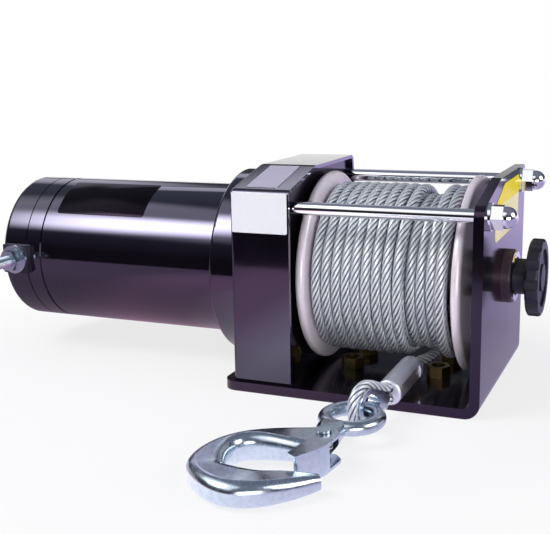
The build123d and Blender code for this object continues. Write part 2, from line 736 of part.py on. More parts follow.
def make_terminal_studs():
    """Each stud has a thinner shank up to its nut, and a full thread beyond it for the cable."""
    inner = CAN_D / 2 - TERMINAL_INSIDE
    thread = terminal_seat() + TERMINAL_WASHER_T + TERMINAL_NUT_T + TERMINAL_RELIEF
    studs = []
    for side in (-1, 1):
        shank = y_bar(TERMINAL_SHANK_D, TERMINAL_X, AXIS_Z, side * inner, side * thread)
        end = y_bar(TERMINAL_D, TERMINAL_X, AXIS_Z, side * thread, side * (thread + TERMINAL_FREE))
        studs.append(shank + end)
    return group(studs)


def make_terminal_insulators():
    blocks = []
    for side in (-1, 1):
        seat = terminal_seat()
        pad = y_plane(TERMINAL_X, side * (seat - 11.5), AXIS_Z) * Rectangle(INSULATOR_SIDE, INSULATOR_SIDE)
        block = extrude(pad, side * 11.5) - disc(CAN_D, MOTOR_END - 5, CAN_LEFT + 20)
        block += y_bar(TERMINAL_BUSH_D, TERMINAL_X, AXIS_Z, side * (seat - 9.5), side * (seat - 0.5))
        blocks.append(block - y_bar(TERMINAL_SHANK_D, TERMINAL_X, AXIS_Z, side * 15, side * CAN_D))
    return group(blocks)


def make_terminal_washers():
    washers = []
    seat = terminal_seat()
    for side in (-1, 1):
        outer = y_bar(TERMINAL_WASHER_D, TERMINAL_X, AXIS_Z, side * seat, side * (seat + TERMINAL_WASHER_T))
        washers.append(outer - y_bar(TERMINAL_SHANK_D, TERMINAL_X, AXIS_Z, side * 15, side * CAN_D))
    return group(washers)


def make_terminal_nuts():
    nuts = []
    seat = terminal_seat() + TERMINAL_WASHER_T
    for side in (-1, 1):
        face = y_plane(TERMINAL_X, side * seat, AXIS_Z) * RegularPolygon(NUT_M6_ACROSS / 2, 6, major_radius=False)
        nut = extrude(face, side * TERMINAL_NUT_T)
        nuts.append(nut - y_bar(TERMINAL_SHANK_D, TERMINAL_X, AXIS_Z, side * 15, side * CAN_D))
    return group(nuts)


# Drum and wound rope

def dog_sectors(outer_d, half_angle, x0, x1):
    """Four sectors out to a diameter, for the clutch lugs or their slots."""
    reach = outer_d
    sectors = []
    half = math.radians(half_angle)
    for k in range(4):
        middle = math.pi / 2 * k
        edge = [(reach * math.cos(middle + turn), reach * math.sin(middle + turn)) for turn in (-half, half)]
        sectors.append(prism(make_face(Polyline((0, 0), edge[0], edge[1], close=True)), x0, x1))
    return group(sectors) & disc(outer_d, x0, x1)


def journal_left():
    return END_PLATE_LEFT + 0.25


def make_drum_barrel():
    barrel = disc(LEFT_JOURNAL_D, journal_left(), -FLANGE_OUT)
    barrel += disc(BARREL_D, -FLANGE_OUT, FLANGE_OUT)
    barrel += disc(RIGHT_JOURNAL_D, FLANGE_OUT, JOURNAL_RIGHT)
    barrel -= disc(DOG_BORE_D, journal_left() - 1, JOURNAL_RIGHT)
    barrel -= dog_sectors(DOG_SLOT_D, DOG_SLOT_HALF, SLOT_RIGHT - SLOT_LENGTH, SLOT_RIGHT + 0.1)
    barrel -= disc(DOG_COUNTERBORE_D, SLOT_RIGHT, JOURNAL_RIGHT + 1)
    return barrel


def make_drum_flanges():
    flanges = []
    for side in (-1, 1):
        inner = side * FLANGE_IN
        outer = side * FLANGE_OUT
        plate = ring(FLANGE_D, BARREL_D, min(inner, outer), max(inner, outer))
        rims = plate.edges().filter_by(GeomType.CIRCLE).filter_by(lambda e: e.radius > BARREL_D)
        flanges.append(fillet(rims, FLANGE_RIM))
    return group(flanges)


def turn_point(x, radius, turns):
    """A point of the winding. It starts below the drum and goes up its front."""
    angle = 2 * math.pi * turns
    return Vector(x, -radius * math.sin(angle), AXIS_Z - radius * math.cos(angle))


def turn_tangent(radius, turns, pitch):
    angle = 2 * math.pi * turns
    return Vector(pitch / (2 * math.pi), -radius * math.cos(angle), radius * math.sin(angle)).normalized()


def biarc(start, start_dir, end, end_dir):
    """Two arcs that leave start and reach end in the given directions."""
    chord = end - start
    both = start_dir + end_dir
    bend = 2 * (1 - start_dir.dot(end_dir))
    along = chord.dot(both)
    reach = (-along + math.sqrt(along * along + bend * chord.dot(chord))) / bend
    first = start + start_dir * reach
    last = end - end_dir * reach
    middle = (first + last) * 0.5
    return [
        Edge.make_tangent_arc(start, start_dir, middle),
        Edge.make_tangent_arc(middle, last - first, end),
    ]


def wound_tube(stops, pitch, tube_d, leg=0.0):
    """One tube through a list of (x, radius) stops, half a turn apart, with straight ends."""
    leg = max(leg, tube_d)
    points = [turn_point(x, radius, k / 2) for k, (x, radius) in enumerate(stops)]
    tangents = [turn_tangent(radius, k / 2, pitch) for k, (_, radius) in enumerate(stops)]
    edges = [Edge.make_line(points[0] - tangents[0] * leg, points[0])]
    for k in range(len(stops) - 1):
        edges += biarc(points[k], tangents[k], points[k + 1], tangents[k + 1])
    edges.append(Edge.make_line(points[-1], points[-1] + tangents[-1] * leg))
    path = Wire(edges)
    section = Plane(origin=edges[0] @ 0, z_dir=tangents[0]) * Circle(tube_d / 2)
    return sweep(section, path=path), path


def print_least_gap(name, path, turns, tube_d):
    """Measure how near the tube comes to itself, from each point to the next turn round."""
    steps = 120
    count = int(turns * steps)
    points = [tuple(path.position_at(k / count)) for k in range(count + 1)]
    least = path.length
    for a in range(count):
        for b in range(a + steps // 2, min(count, a + 2 * steps)):
            least = min(least, math.dist(points[a], points[b]))
    print(f"{name}: {turns} turns, least gap to itself {least - tube_d:.2f} mm")


def winding_stops():
    """Outer turns, a dip to the lower layer where the rope was pulled off, and two raised turns."""
    halves = int((DRUM_WIDTH - ROPE_D) / (ROPE_D / 2))
    half_pitch = (DRUM_WIDTH - ROPE_D) / halves
    first = halves - LOWER_STOPS - RAISED_STOPS
    levels = [OUTER_LAYER_R] * first + [LOWER_LAYER_R] * LOWER_STOPS
    levels += [OUTER_LAYER_R] * RAISED_STOPS + [LOWER_LAYER_R]
    return [(half_pitch * (k - halves / 2), radius) for k, radius in enumerate(levels)]


def core_step():
    """Where the plain core drops from under the outer turns to under the lower layer."""
    stops = winding_stops()
    return stops[len(stops) - LOWER_STOPS - RAISED_STOPS - 2][0] - 1.0


def make_rope_winding():
    stops = winding_stops()
    tube_d = ROPE_D - TURN_GAP
    tube, path = wound_tube(stops, 2 * (stops[1][0] - stops[0][0]), tube_d)
    print_least_gap("rope_winding", path, (len(stops) - 1) / 2, tube_d)
    return tube


def make_rope_core():
    below = ROPE_D - TURN_GAP + 2 * ROPE_SEAT_GAP
    high = 2 * OUTER_LAYER_R - below
    low = 2 * LOWER_LAYER_R - below
    core = disc(high, -FLANGE_IN, core_step()) + disc(low, core_step() - 1, FLANGE_IN)
    return core - disc(BARREL_D, -FLANGE_IN - 1, FLANGE_IN + 1)


# Clutch

def make_clutch_dog():
    body = disc(DOG_BODY_D, DOG_LEFT, DOG_RIGHT)
    lugs = dog_sectors(DOG_LUG_D, DOG_LUG_HALF, LUGS_REST, LUGS_REST + LUG_LENGTH)
    body += lugs + disc(DOG_LUG_D, DOG_RIGHT - 1.5, DOG_RIGHT)
    body -= hexagon(HEX_SHAFT + 2 * HEX_FIT, DOG_LEFT - 1, ROD_HEAD_LEFT)
    body -= disc(CUP_D, ROD_HEAD_LEFT - 0.2, ROD_HEAD_LEFT + ROD_HEAD_T + 0.3)
    return body - disc(ROD_CLUTCH_D + 0.6, ROD_HEAD_LEFT, DOG_RIGHT + 1)


def make_clutch_rod():
    head = disc(ROD_HEAD_D, ROD_HEAD_LEFT, ROD_HEAD_LEFT + ROD_HEAD_T)
    return head + disc(ROD_CLUTCH_D, ROD_HEAD_LEFT, KNOB_FRONT - 2.5)


def make_clutch_collar():
    collar = disc(COLLAR_D, UPRIGHT_OUT, COLLAR_RIGHT)
    rim = collar.edges().filter_by(GeomType.CIRCLE).sort_by(Axis.X)[-1]
    collar = fillet(rim, 0.8)
    spigot_left = UPRIGHT_OUT - COLLAR_SPIGOT
    collar += disc(SPIGOT_D, spigot_left, UPRIGHT_OUT)
    collar -= disc(ROD_CLUTCH_D + 4 * RUNNING_FIT, spigot_left - 1, COLLAR_RIGHT + 1)
    return collar - disc(NECK_D + 4 * RUNNING_FIT, spigot_left + COLLAR_WEB, COLLAR_RIGHT + 1)


def make_clutch_clip():
    clip = ring(NECK_D + 6.4, NECK_D + 1.6, COLLAR_RIGHT, CLIP_RIGHT)
    reach = KNOB_D
    gap = make_face(Polyline((0, 0), (-reach, -reach), (-reach, reach), close=True))
    return clip - prism(gap, COLLAR_RIGHT - 1, CLIP_RIGHT + 1)


def make_clutch_knob():
    neck_left = COLLAR_RIGHT + 0.3
    knob = disc(KNOB_D, KNOB_BACK, KNOB_FRONT)
    knob = fillet(knob.edges().filter_by(GeomType.CIRCLE), 1.2)
    scallop_r = 3.4
    for k in range(KNOB_SCALLOPS):
        angle = 2 * math.pi * k / KNOB_SCALLOPS
        out = KNOB_D / 2 + scallop_r - 1.3
        y = out * math.cos(angle)
        z = AXIS_Z + out * math.sin(angle)
        knob -= disc(2 * scallop_r, KNOB_BACK - 1, KNOB_FRONT + 1, y, z)
    knob -= ring(KNOB_D - 9, NECK_D - 4, KNOB_FRONT - 1.2, KNOB_FRONT + 1)
    knob += disc(NECK_D, neck_left, KNOB_BACK)
    return knob - disc(ROD_CLUTCH_D + 2 * RUNNING_FIT, neck_left - 1, KNOB_FRONT - 2.5)


def make_clutch_spring():
    left = DOG_RIGHT + 0.1 + SPRING_WIRE / 2
    right = UPRIGHT_OUT - COLLAR_SPIGOT - 0.1 - SPRING_WIRE / 2
    pitch = (right - left) / SPRING_TURNS
    halves = 2 * SPRING_TURNS
    stops = [(left + pitch / 2 * k, SPRING_MEAN_R) for k in range(halves + 1)]
    tube, path = wound_tube(stops, pitch, SPRING_WIRE)
    print_least_gap("clutch_spring", path, SPRING_TURNS, SPRING_WIRE)
    return tube


# Free rope end

def cord_path(name, points):
    """Straight runs joined by the largest tangent arcs that the runs allow."""
    corners = [Vector(*p) for p in points]
    radii = []
    for before, at, after in zip(corners, corners[1:], corners[2:]):
        shorter = min((at - before).length, (after - at).length)
        turn = math.radians((at - before).get_angle(after - at))
        radii.append(0.45 * shorter / math.tan(turn / 2))
    print(f"{name} radii", [round(r, 1) for r in radii])
    return FilletPolyline(*corners, radius=radii)


def cord_tube(name, points, diameter):
    path = cord_path(name, points)
    start = path @ 0
    tube = sweep(Plane(origin=start, z_dir=path % 0) * Circle(diameter / 2), path=path)
    section = math.pi * diameter ** 2 / 4
    print(f"{name}: volume over section times length {tube.volume / (section * path.length):.4f}")
    return tube


def ferrule_axis():
    return (Vector(*FERRULE_FRONT) - Vector(*LEAD_ROUTE[-1])).normalized()


def make_rope_lead():
    """The rope from under the drum to a little way inside the ferrule."""
    inside = Vector(*LEAD_ROUTE[-1]) + ferrule_axis() * ROPE_IN_FERRULE
    return cord_tube("rope_lead", LEAD_ROUTE + [tuple(inside)], ROPE_D)


def make_ferrule():
    back = Vector(*LEAD_ROUTE[-1])
    length = (Vector(*FERRULE_FRONT) - back).length
    end = Plane(origin=back, x_dir=ferrule_axis().cross(Vector(0, 0, 1)), z_dir=ferrule_axis())
    sleeve = extrude(end * Circle(FERRULE_D / 2), length)
    sleeve = fillet(sleeve.edges().filter_by(GeomType.CIRCLE), 1.0)
    for side in (-1, 1):
        out = side * (FERRULE_D - FERRULE_PRESS)
        sleeve -= end * (Pos(out, 0, length / 2) * Box(FERRULE_D, FERRULE_D, length - 2 * FERRULE_RIM))
    return sleeve - make_rope_lead() - make_rope_eye()


def loop_forward():
    yaw = math.radians(LOOP_YAW)
    return Vector(-math.sin(yaw), -math.cos(yaw), 0)


def loop_point(along, up):
    """A point of the upright rope eye, by its reach from the ferrule and its height."""
    return Vector(*FERRULE_FRONT) + loop_forward() * along + Vector(0, 0, up)


def loop_plane():
    return Plane(origin=loop_point(0, 0), x_dir=loop_forward(), z_dir=loop_forward().cross(Vector(0, 0, 1)))


def eye_route():
    """Corner points round the eye: out of the ferrule, round the thimble and back."""
    leg = ROPE_D / 2 + 0.05
    bend_r = LOOP_R / 0.9
    axis = ferrule_axis()
    start = Vector(*FERRULE_FRONT) + Vector(0, 0, leg)
    end = Vector(*FERRULE_FRONT) - Vector(0, 0, leg)
    corner = bend_r / math.cos(math.pi / 8)
    turns = [math.radians(a) for a in (112.5, 67.5, 22.5, -22.5, -67.5, -112.5)]
    around = [loop_point(LOOP_CENTRE + corner * math.cos(a), corner * math.sin(a)) for a in turns]
    near = [start - axis * ROPE_IN_FERRULE, start + axis * LEG_STRAIGHT]
    return near + around + [end + axis * LEG_STRAIGHT, end - axis * ROPE_IN_FERRULE]


def make_rope_eye():
    return cord_tube("rope_eye", eye_route(), ROPE_D)


def make_thimble():
    """A grooved sheet liner inside the rope eye."""
    back = 6.5
    rise = LOOP_R - 1.6
    outer = make_hull(ShapeList(
        (Pos(LOOP_CENTRE, 0) * Circle(LOOP_R)).edges() + (Pos(back, 0) * Circle(rise / 2)).edges()
    ))
    inner = make_hull(ShapeList(
        (Pos(LOOP_CENTRE, 0) * Circle(THIMBLE_INNER_R)).edges() + (Pos(back + 5.0, 0) * Circle(1.0)).edges()
    ))
    liner = extrude(loop_plane() * (outer - inner), THIMBLE_WIDTH / 2, both=True)
    path = cord_path("thimble groove", eye_route())
    groove = sweep(Plane(origin=path @ 0, z_dir=path % 0) * Circle(ROPE_D / 2 + 0.15), path=path)
    return liner - groove


# Hook

def hook_plane():
    """The hook's own plane: local +Y runs from the bowl to the eye, +X to the tip's side."""
    yaw = math.radians(HOOK_YAW)
    tilt = math.radians(HOOK_TILT)
    side = Vector(math.cos(yaw), -math.sin(yaw), 0)
    to_eye = Vector(math.sin(yaw) * math.cos(tilt), math.cos(yaw) * math.cos(tilt), math.sin(tilt))
    wire = loop_point(EYE_WIRE_REACH, -EYE_WIRE_DROP)
    pull = math.radians(EYE_PULL)
    across = HOOK_EYE[0] - EYE_RING_R * math.sin(pull)
    along = HOOK_EYE[1] + EYE_RING_R * math.cos(pull)
    return Plane(origin=wire - side * across - to_eye * along, x_dir=side, z_dir=side.cross(to_eye))


def hook_sections():
    """Rounded sections from the neck round the bowl to the tip: place, width, thickness and rise."""
    places = [Vector(x, y, 0) for x, y, width, thick, rise in HOOK_FORGING]
    for k, (x, y, width, thick, rise) in enumerate(HOOK_FORGING):
        before = places[max(k - 1, 0)]
        after = places[min(k + 1, len(places) - 1)]
        along = (after - before).normalized()
        plane = Plane(origin=(x, y, rise), x_dir=Vector(0, 0, 1).cross(along), z_dir=along)
        yield plane * RectangleRounded(width, thick, HOOK_ROUND * min(width, thick))


def make_hook():
    body = loft(list(hook_sections()))
    body += Pos(*HOOK_EYE) * Torus(EYE_RING_R, EYE_WIRE_R)
    body -= Pos(*LATCH_PIVOT) * Cylinder(LATCH_PIN_D / 2, 2 * LATCH_INSIDE)
    body -= Pos(LATCH_PIVOT[0] + 3.4, LATCH_PIVOT[1]) * Box(15.0, 14.0, SPRING_SLOT)
    return hook_plane() * body


def make_latch():
    """A folded channel: two cheeks over the hook's neck, joined by a web on the outside."""
    half = LATCH_INSIDE / 2
    x, y = LATCH_PIVOT
    web = [(20.2, 21.0), (20.8, 17.0), (18.4, 3.6)]
    corners = [(x - 4.2, y + 1.4), (x + 1.6, y + 5.0), (x + 6.6, y + 2.4)]
    corners += web[1:] + [(13.4, 4.8), (x - 0.6, y - 7.0)]
    cheek = make_face(FilletPolyline(*corners, radius=[3.0, 3.0, 2.5, 9.0, 1.0, 1.4, 6.0], close=True))
    block = Pos(0, 0, -half - LATCH_SHEET) * extrude(cheek, 2 * (half + LATCH_SHEET))
    drawn_in = [(x - 30, y + 30), (x + 30, y + 30), (x + 30, web[0][1])]
    drawn_in += [(px - LATCH_SHEET, py) for px, py in web]
    drawn_in += [(web[2][0] - LATCH_SHEET, -10), (x - 30, -10)]
    inside = make_face(Polyline(*drawn_in, close=True))
    block -= Pos(0, 0, -half) * extrude(inside, 2 * half)
    block -= Pos(x, y) * Cylinder(LATCH_PIN_D / 2 + RUNNING_FIT, 4 * LATCH_INSIDE)
    return hook_plane() * block


def make_latch_pin():
    half = LATCH_INSIDE / 2 + LATCH_SHEET
    x, y = LATCH_PIVOT
    pin = Pos(x, y) * Cylinder(LATCH_PIN_D / 2, 2 * half + 1)
    for side in (-1, 1):
        pin += Pos(x, y, side * (half + 0.65)) * Cylinder(3.1, 0.9)
    return hook_plane() * pin


def make_latch_spring():
    """A coil round the latch pin, with one leg along the spine and one along the latch's web."""
    stops = [(LATCH_COIL_PITCH * (k / 2 - 0.75), LATCH_COIL_R) for k in range(4)]
    coil, path = wound_tube(stops, LATCH_COIL_PITCH, LATCH_WIRE, 5.0)
    print_least_gap("latch_spring", path, 2.5, LATCH_WIRE)
    upright = Pos(*LATCH_PIVOT) * Rot(0, 0, LATCH_COIL_TURN) * Rot(0, -90, 0) * Pos(0, 0, -AXIS_Z)
    return hook_plane() * (upright * coil)


os.makedirs("parts", exist_ok=True)
save("base_bracket", make_base_bracket())
save("base_nuts", make_base_nuts())
save("frame_screws", group([frame_screw(-FRAME_SCREW_Y), frame_screw(FRAME_SCREW_Y)]))
save("tie_rods", make_tie_rods())
save("rod_washers", make_rod_washers())
save("acorn_nuts", make_acorn_nuts())
save("gear_hood", make_gear_hood())
save("end_plate", make_end_plate())
save("end_plate_screws", make_end_plate_screws())
save("drum_bushes", make_drum_bushes())
save("gear_housing", make_gear_housing())
save("ring_gear", make_ring_gear())
save("sun_gear", make_sun_gear())
for stage in range(3):
    save(f"carrier_{stage + 1}", make_carrier(stage))
    for index in range(PLANETS):
        save(f"planet_{stage + 1}{'abc'[index]}", make_planet(stage, index))
save("drive_shaft", make_drive_shaft())
save("motor_can", make_motor_can())
save("motor_end_cap", make_motor_end_cap())
save("through_bolts", make_through_bolts())
save("motor_front_plate", make_motor_front_plate())
save("motor_bearings", make_motor_bearings())
save("armature_shaft", make_armature_shaft())
save("armature_core", make_armature_core())
save("armature_windings", make_armature_windings())
save("commutator", make_commutator())
save("brush_plate", make_brush_plate())
save("brushes", make_brushes())
save("field_magnets", make_field_magnets())
save("terminal_studs", make_terminal_studs())
save("terminal_insulators", make_terminal_insulators())
save("terminal_washers", make_terminal_washers())
save("terminal_nuts", make_terminal_nuts())
save("drum_barrel", make_drum_barrel())
save("drum_flanges", make_drum_flanges())
save("rope_core", make_rope_core())
save("rope_winding", make_rope_winding())
save("clutch_dog", make_clutch_dog())
save("clutch_rod", make_clutch_rod())
save("clutch_collar", make_clutch_collar())
save("clutch_clip", make_clutch_clip())
save("clutch_knob", make_clutch_knob())
save("clutch_spring", make_clutch_spring())
save("rope_lead", make_rope_lead())
save("ferrule", make_ferrule())
save("rope_eye", make_rope_eye())
save("thimble", make_thimble())
save("hook", make_hook())
save("latch", make_latch())
save("latch_pin", make_latch_pin())
save("latch_spring", make_latch_spring())
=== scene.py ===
import json
import math

import bpy
import numpy as np
from mathutils import Euler, Matrix, Vector


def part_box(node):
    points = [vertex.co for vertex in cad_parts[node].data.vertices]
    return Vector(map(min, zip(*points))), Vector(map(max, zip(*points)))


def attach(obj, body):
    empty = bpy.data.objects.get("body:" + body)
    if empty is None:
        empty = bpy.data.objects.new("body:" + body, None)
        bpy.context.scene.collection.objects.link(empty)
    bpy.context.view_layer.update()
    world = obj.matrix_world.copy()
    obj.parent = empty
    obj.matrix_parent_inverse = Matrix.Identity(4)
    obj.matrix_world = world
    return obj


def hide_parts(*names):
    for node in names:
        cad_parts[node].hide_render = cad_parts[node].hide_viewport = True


bl_info = {
    "name": "Vehicle winch",
    "version": (1, 0, 0),
    "blender": (4, 5, 0),
    "location": "3D View > Sidebar > Winch",
    "description": "Rope, labels, finishes and studio for a small electric vehicle winch",
    "category": "Object",
}

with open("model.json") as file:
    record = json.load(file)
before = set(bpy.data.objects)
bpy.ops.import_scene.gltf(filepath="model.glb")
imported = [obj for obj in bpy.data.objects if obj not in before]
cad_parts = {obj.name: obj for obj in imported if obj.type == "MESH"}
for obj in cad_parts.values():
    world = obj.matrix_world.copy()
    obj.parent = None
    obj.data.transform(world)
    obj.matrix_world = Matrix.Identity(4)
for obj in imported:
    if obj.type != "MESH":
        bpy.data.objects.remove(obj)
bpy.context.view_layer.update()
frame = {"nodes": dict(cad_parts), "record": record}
NODES = frame["nodes"]

# Places of the CAD model that the new pieces need, in metres
AXIS_Z = 0.053
DRUM_INSIDE = 0.03395
OUTER_TURN_R = 0.0394
LAYER_DROP = 0.0045
WINDING_STEPS = 26
LOWER_STOPS = 5
RAISED_STOPS = 3
CAN_R = 0.0385
HOOD_FRONT_Y = -0.0515
HOOD_SHOULDER_Z = 0.0958
HOOD_TOP_Z = 0.104
HOOD_SLOPE_END_Y = -0.0165
UPRIGHT_FACE_X = 0.04955

# Small sizes of the new pieces
WINDING_WANDER = 0.00022
LINE_RESOLUTION = 24
MOTOR_LABEL_X = -0.1535
MOTOR_LABEL_RISE = math.radians(57.5)
MOTOR_LABEL_CUT = 0.002
YELLOW_FROM_Z = 0.0884
THREAD_START = 0.0475
THREAD_PITCH = 0.001
THREAD_R = 0.003
THREAD_ROOT_R = 0.00262

# The floor is a sheet that ends in front of the winch
FLOOR_FRONT_Y = -0.31
FLOOR_WIDTH = 4.0
FLOOR_DEPTH = 3.0

# Routes of the rope's free end, as in the CAD source
LEAD_ROUTE = [
    (0.0174, 0.0, 0.013), (0.0174, -0.011, 0.013), (0.0139, -0.021, 0.0136), (0.0133, -0.030, 0.0132),
]
FERRULE_FRONT = Vector((0.0116, -0.0626, 0.0109))
LOOP_YAW = math.radians(16.0)
LOOP_R = 0.0076
LOOP_CENTRE = 0.0189
LEG_STRAIGHT = 0.003
IN_FERRULE = 0.008


# Settings

class WinchRopeSettings(bpy.types.PropertyGroup):
    diameter: bpy.props.FloatProperty(
        name="Diameter", description="Thickness of the wire rope", default=0.0048, unit="LENGTH", precision=4)
    lay: bpy.props.FloatProperty(
        name="Lay length", description="Length of one full twist of the strands", default=0.0237,
        unit="LENGTH", precision=4)
    strands: bpy.props.IntProperty(
        name="Strands", description="Strands round the rope's core", default=6, min=3, max=9)
    colour: bpy.props.FloatVectorProperty(
        name="Galvanised wire", description="Colour of the wires", default=(0.85, 0.89, 1.0),
        size=3, subtype="COLOR", min=0, max=1)


class WinchFinishSettings(bpy.types.PropertyGroup):
    paint: bpy.props.FloatVectorProperty(
        name="Gloss paint", description="Colour of the motor, hood and bracket", default=(0.0035, 0.0025, 0.0045),
        size=3, subtype="COLOR", min=0, max=1)
    drum: bpy.props.FloatVectorProperty(
        name="Drum", description="Colour of the drum's flanges", default=(0.88, 0.79, 0.85),
        size=3, subtype="COLOR", min=0, max=1)
    zinc: bpy.props.FloatVectorProperty(
        name="Blue zinc", description="Colour of the hook and terminals", default=(0.57, 0.65, 0.73),
        size=3, subtype="COLOR", min=0, max=1)
    # The yellow zinc is set darker than the plating: the hue is the zinc's, the darkness is painted shade for the
    # nuts and screws that sit in shade under the drum
    yellow: bpy.props.FloatVectorProperty(
        name="Yellow zinc", description="Colour of the small screws and nuts", default=(0.27, 0.20, 0.07),
        size=3, subtype="COLOR", min=0, max=1)


class WinchLabelSettings(bpy.types.PropertyGroup):
    thickness: bpy.props.FloatProperty(
        name="Thickness", description="Thickness of the label film", default=0.00018, unit="LENGTH", precision=5)
    white: bpy.props.FloatVectorProperty(
        name="White label", description="Colour of the blank label on the hood", default=(0.80, 0.80, 0.84),
        size=3, subtype="COLOR", min=0, max=1)
    cream: bpy.props.FloatVectorProperty(
        name="Cream label", description="Lower colour of the label on the upright", default=(0.90, 0.83, 0.45),
        size=3, subtype="COLOR", min=0, max=1)
    yellow: bpy.props.FloatVectorProperty(
        name="Yellow label", description="Upper colour of the label on the upright", default=(0.93, 0.76, 0.02),
        size=3, subtype="COLOR", min=0, max=1)


class WinchStageSettings(bpy.types.PropertyGroup):
    yaw: bpy.props.FloatProperty(
        name="Yaw", description="Turn of the camera to the left", default=math.radians(23.745), subtype="ANGLE")
    pitch: bpy.props.FloatProperty(
        name="Pitch", description="Tilt of the camera below level", default=math.radians(11.698), subtype="ANGLE")
    roll: bpy.props.FloatProperty(
        name="Roll", description="Roll of the camera", default=math.radians(-1.129), subtype="ANGLE")
    place: bpy.props.FloatVectorProperty(
        name="Place", description="Where the camera stands", default=(0.12699, -0.45370, 0.15386),
        size=3, subtype="TRANSLATION")
    focal: bpy.props.FloatProperty(
        name="Focal length", description="Focal length in picture widths", default=977.14 / 550)
    centre: bpy.props.FloatVectorProperty(
        name="Shift", description="Shift of the picture in widths", default=(8.67 / 550, -4.65 / 550), size=2)
    floor: bpy.props.FloatVectorProperty(
        name="Floor", description="Colour of the floor", default=(0.80, 0.79, 0.82),
        size=3, subtype="COLOR", min=0, max=1)


# Small tools

def only(obj):
    """Leave just this object selected and active."""
    if bpy.context.mode != "OBJECT":
        bpy.ops.object.mode_set(mode="OBJECT")
    bpy.ops.object.select_all(action="DESELECT")
    obj.select_set(True)
    bpy.context.view_layer.objects.active = obj


def clear_selection():
    """Leave nothing selected, in object mode."""
    if bpy.context.mode != "OBJECT":
        bpy.ops.object.mode_set(mode="OBJECT")
    bpy.ops.object.select_all(action="DESELECT")


def named(name):
    """Name the active object and its mesh."""
    obj = bpy.context.object
    obj.name = name
    obj.data.name = name
    return obj


def edit(obj):
    """Open this object alone in edit mode."""
    only(obj)
    bpy.ops.object.mode_set(mode="EDIT")


def place(obj, matrix):
    """Move a finished mesh to its place and leave its object at the origin."""
    only(obj)
    obj.matrix_world = matrix
    bpy.ops.object.transform_apply(location=True, rotation=True, scale=True)


def apply_modifier(obj, kind, **values):
    """Add a modifier with these values and apply it."""
    only(obj)
    modifier = obj.modifiers.new(kind, kind)
    for key, value in values.items():
        setattr(modifier, key, value)
    bpy.ops.object.modifier_apply(modifier=modifier.name)


def finish_piece(obj, body, slot, finish, *nodes):
    """Give a new piece its finish and its body, and hide the CAD nodes that it stands for; the slot is not used."""
    obj.data.materials.clear()
    obj.data.materials.append(finish)
    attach(obj, body)
    if nodes:
        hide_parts(*nodes)


# Shader node groups

def group_tree(name, inputs, outputs):
    """An empty node group with its sockets, and its input and output nodes."""
    tree = bpy.data.node_groups.new(name, "ShaderNodeTree")
    for label, value in inputs:
        socket = tree.interface.new_socket(label, in_out="INPUT", socket_type="NodeSocketFloat")
        socket.default_value = value
    for label, kind in outputs:
        tree.interface.new_socket(label, in_out="OUTPUT", socket_type=kind)
    return tree, tree.nodes.new("NodeGroupInput"), tree.nodes.new("NodeGroupOutput")


def joined(tree, kind, sources, **values):
    """Add a node, set its values and link its inputs."""
    node = tree.nodes.new(kind)
    for key, value in values.items():
        setattr(node, key, value)
    for key, source in sources.items():
        if isinstance(source, bpy.types.NodeSocket):
            tree.links.new(source, node.inputs[key])
        else:
            node.inputs[key].default_value = source
    return node


def make_grain_group():
    """Two sizes of soft noise, for colour mottling, roughness and bump."""
    tree, given, out = group_tree(
        "Grain", [("Scale", 400.0), ("Detail scale", 2500.0), ("Low", 0.0), ("High", 1.0)],
        [("Value", "NodeSocketFloat"), ("Height", "NodeSocketFloat")])
    at = tree.nodes.new("ShaderNodeTexCoord").outputs["Object"]
    broad = joined(tree, "ShaderNodeTexNoise", {"Vector": at, "Scale": given.outputs["Scale"], "Detail": 4.0})
    fine = joined(tree, "ShaderNodeTexNoise", {"Vector": at, "Scale": given.outputs["Detail scale"], "Detail": 2.0})
    both = joined(tree, "ShaderNodeMath", {0: broad.outputs["Fac"], 1: fine.outputs["Fac"]}, operation="ADD")
    half = joined(tree, "ShaderNodeMath", {0: both.outputs[0], 1: 0.5}, operation="MULTIPLY")
    spread = joined(tree, "ShaderNodeMapRange", {
        "Value": half.outputs[0], "From Min": 0.32, "From Max": 0.68,
        "To Min": given.outputs["Low"], "To Max": given.outputs["High"]})
    tree.links.new(spread.outputs["Result"], out.inputs["Value"])
    tree.links.new(half.outputs[0], out.inputs["Height"])
    return tree


def make_rub_group():
    """Sparse fine scratches in two directions, as a mask."""
    tree, given, out = group_tree(
        "Rubbed lines", [("Scale", 60.0), ("Amount", 0.5)], [("Mask", "NodeSocketFloat")])
    at = tree.nodes.new("ShaderNodeTexCoord").outputs["Object"]
    masks = []
    for stretch, turn in (((0.06, 1.0, 1.0), 0.4), ((1.0, 0.06, 0.8), -0.9)):
        mapped = joined(tree, "ShaderNodeMapping", {
            "Vector": at, "Scale": stretch, "Rotation": (turn, turn / 2, turn)})
        noise = joined(tree, "ShaderNodeTexNoise", {
            "Vector": mapped.outputs[0], "Scale": given.outputs["Scale"], "Detail": 6.0, "Roughness": 0.7})
        masks.append(joined(tree, "ShaderNodeMapRange", {
            "Value": noise.outputs["Fac"], "From Min": 0.66, "From Max": 0.72}).outputs["Result"])
    most = joined(tree, "ShaderNodeMath", {0: masks[0], 1: masks[1]}, operation="MAXIMUM")
    scaled = joined(tree, "ShaderNodeMath", {0: most.outputs[0], 1: given.outputs["Amount"]}, operation="MULTIPLY")
    tree.links.new(scaled.outputs[0], out.inputs["Mask"])
    return tree


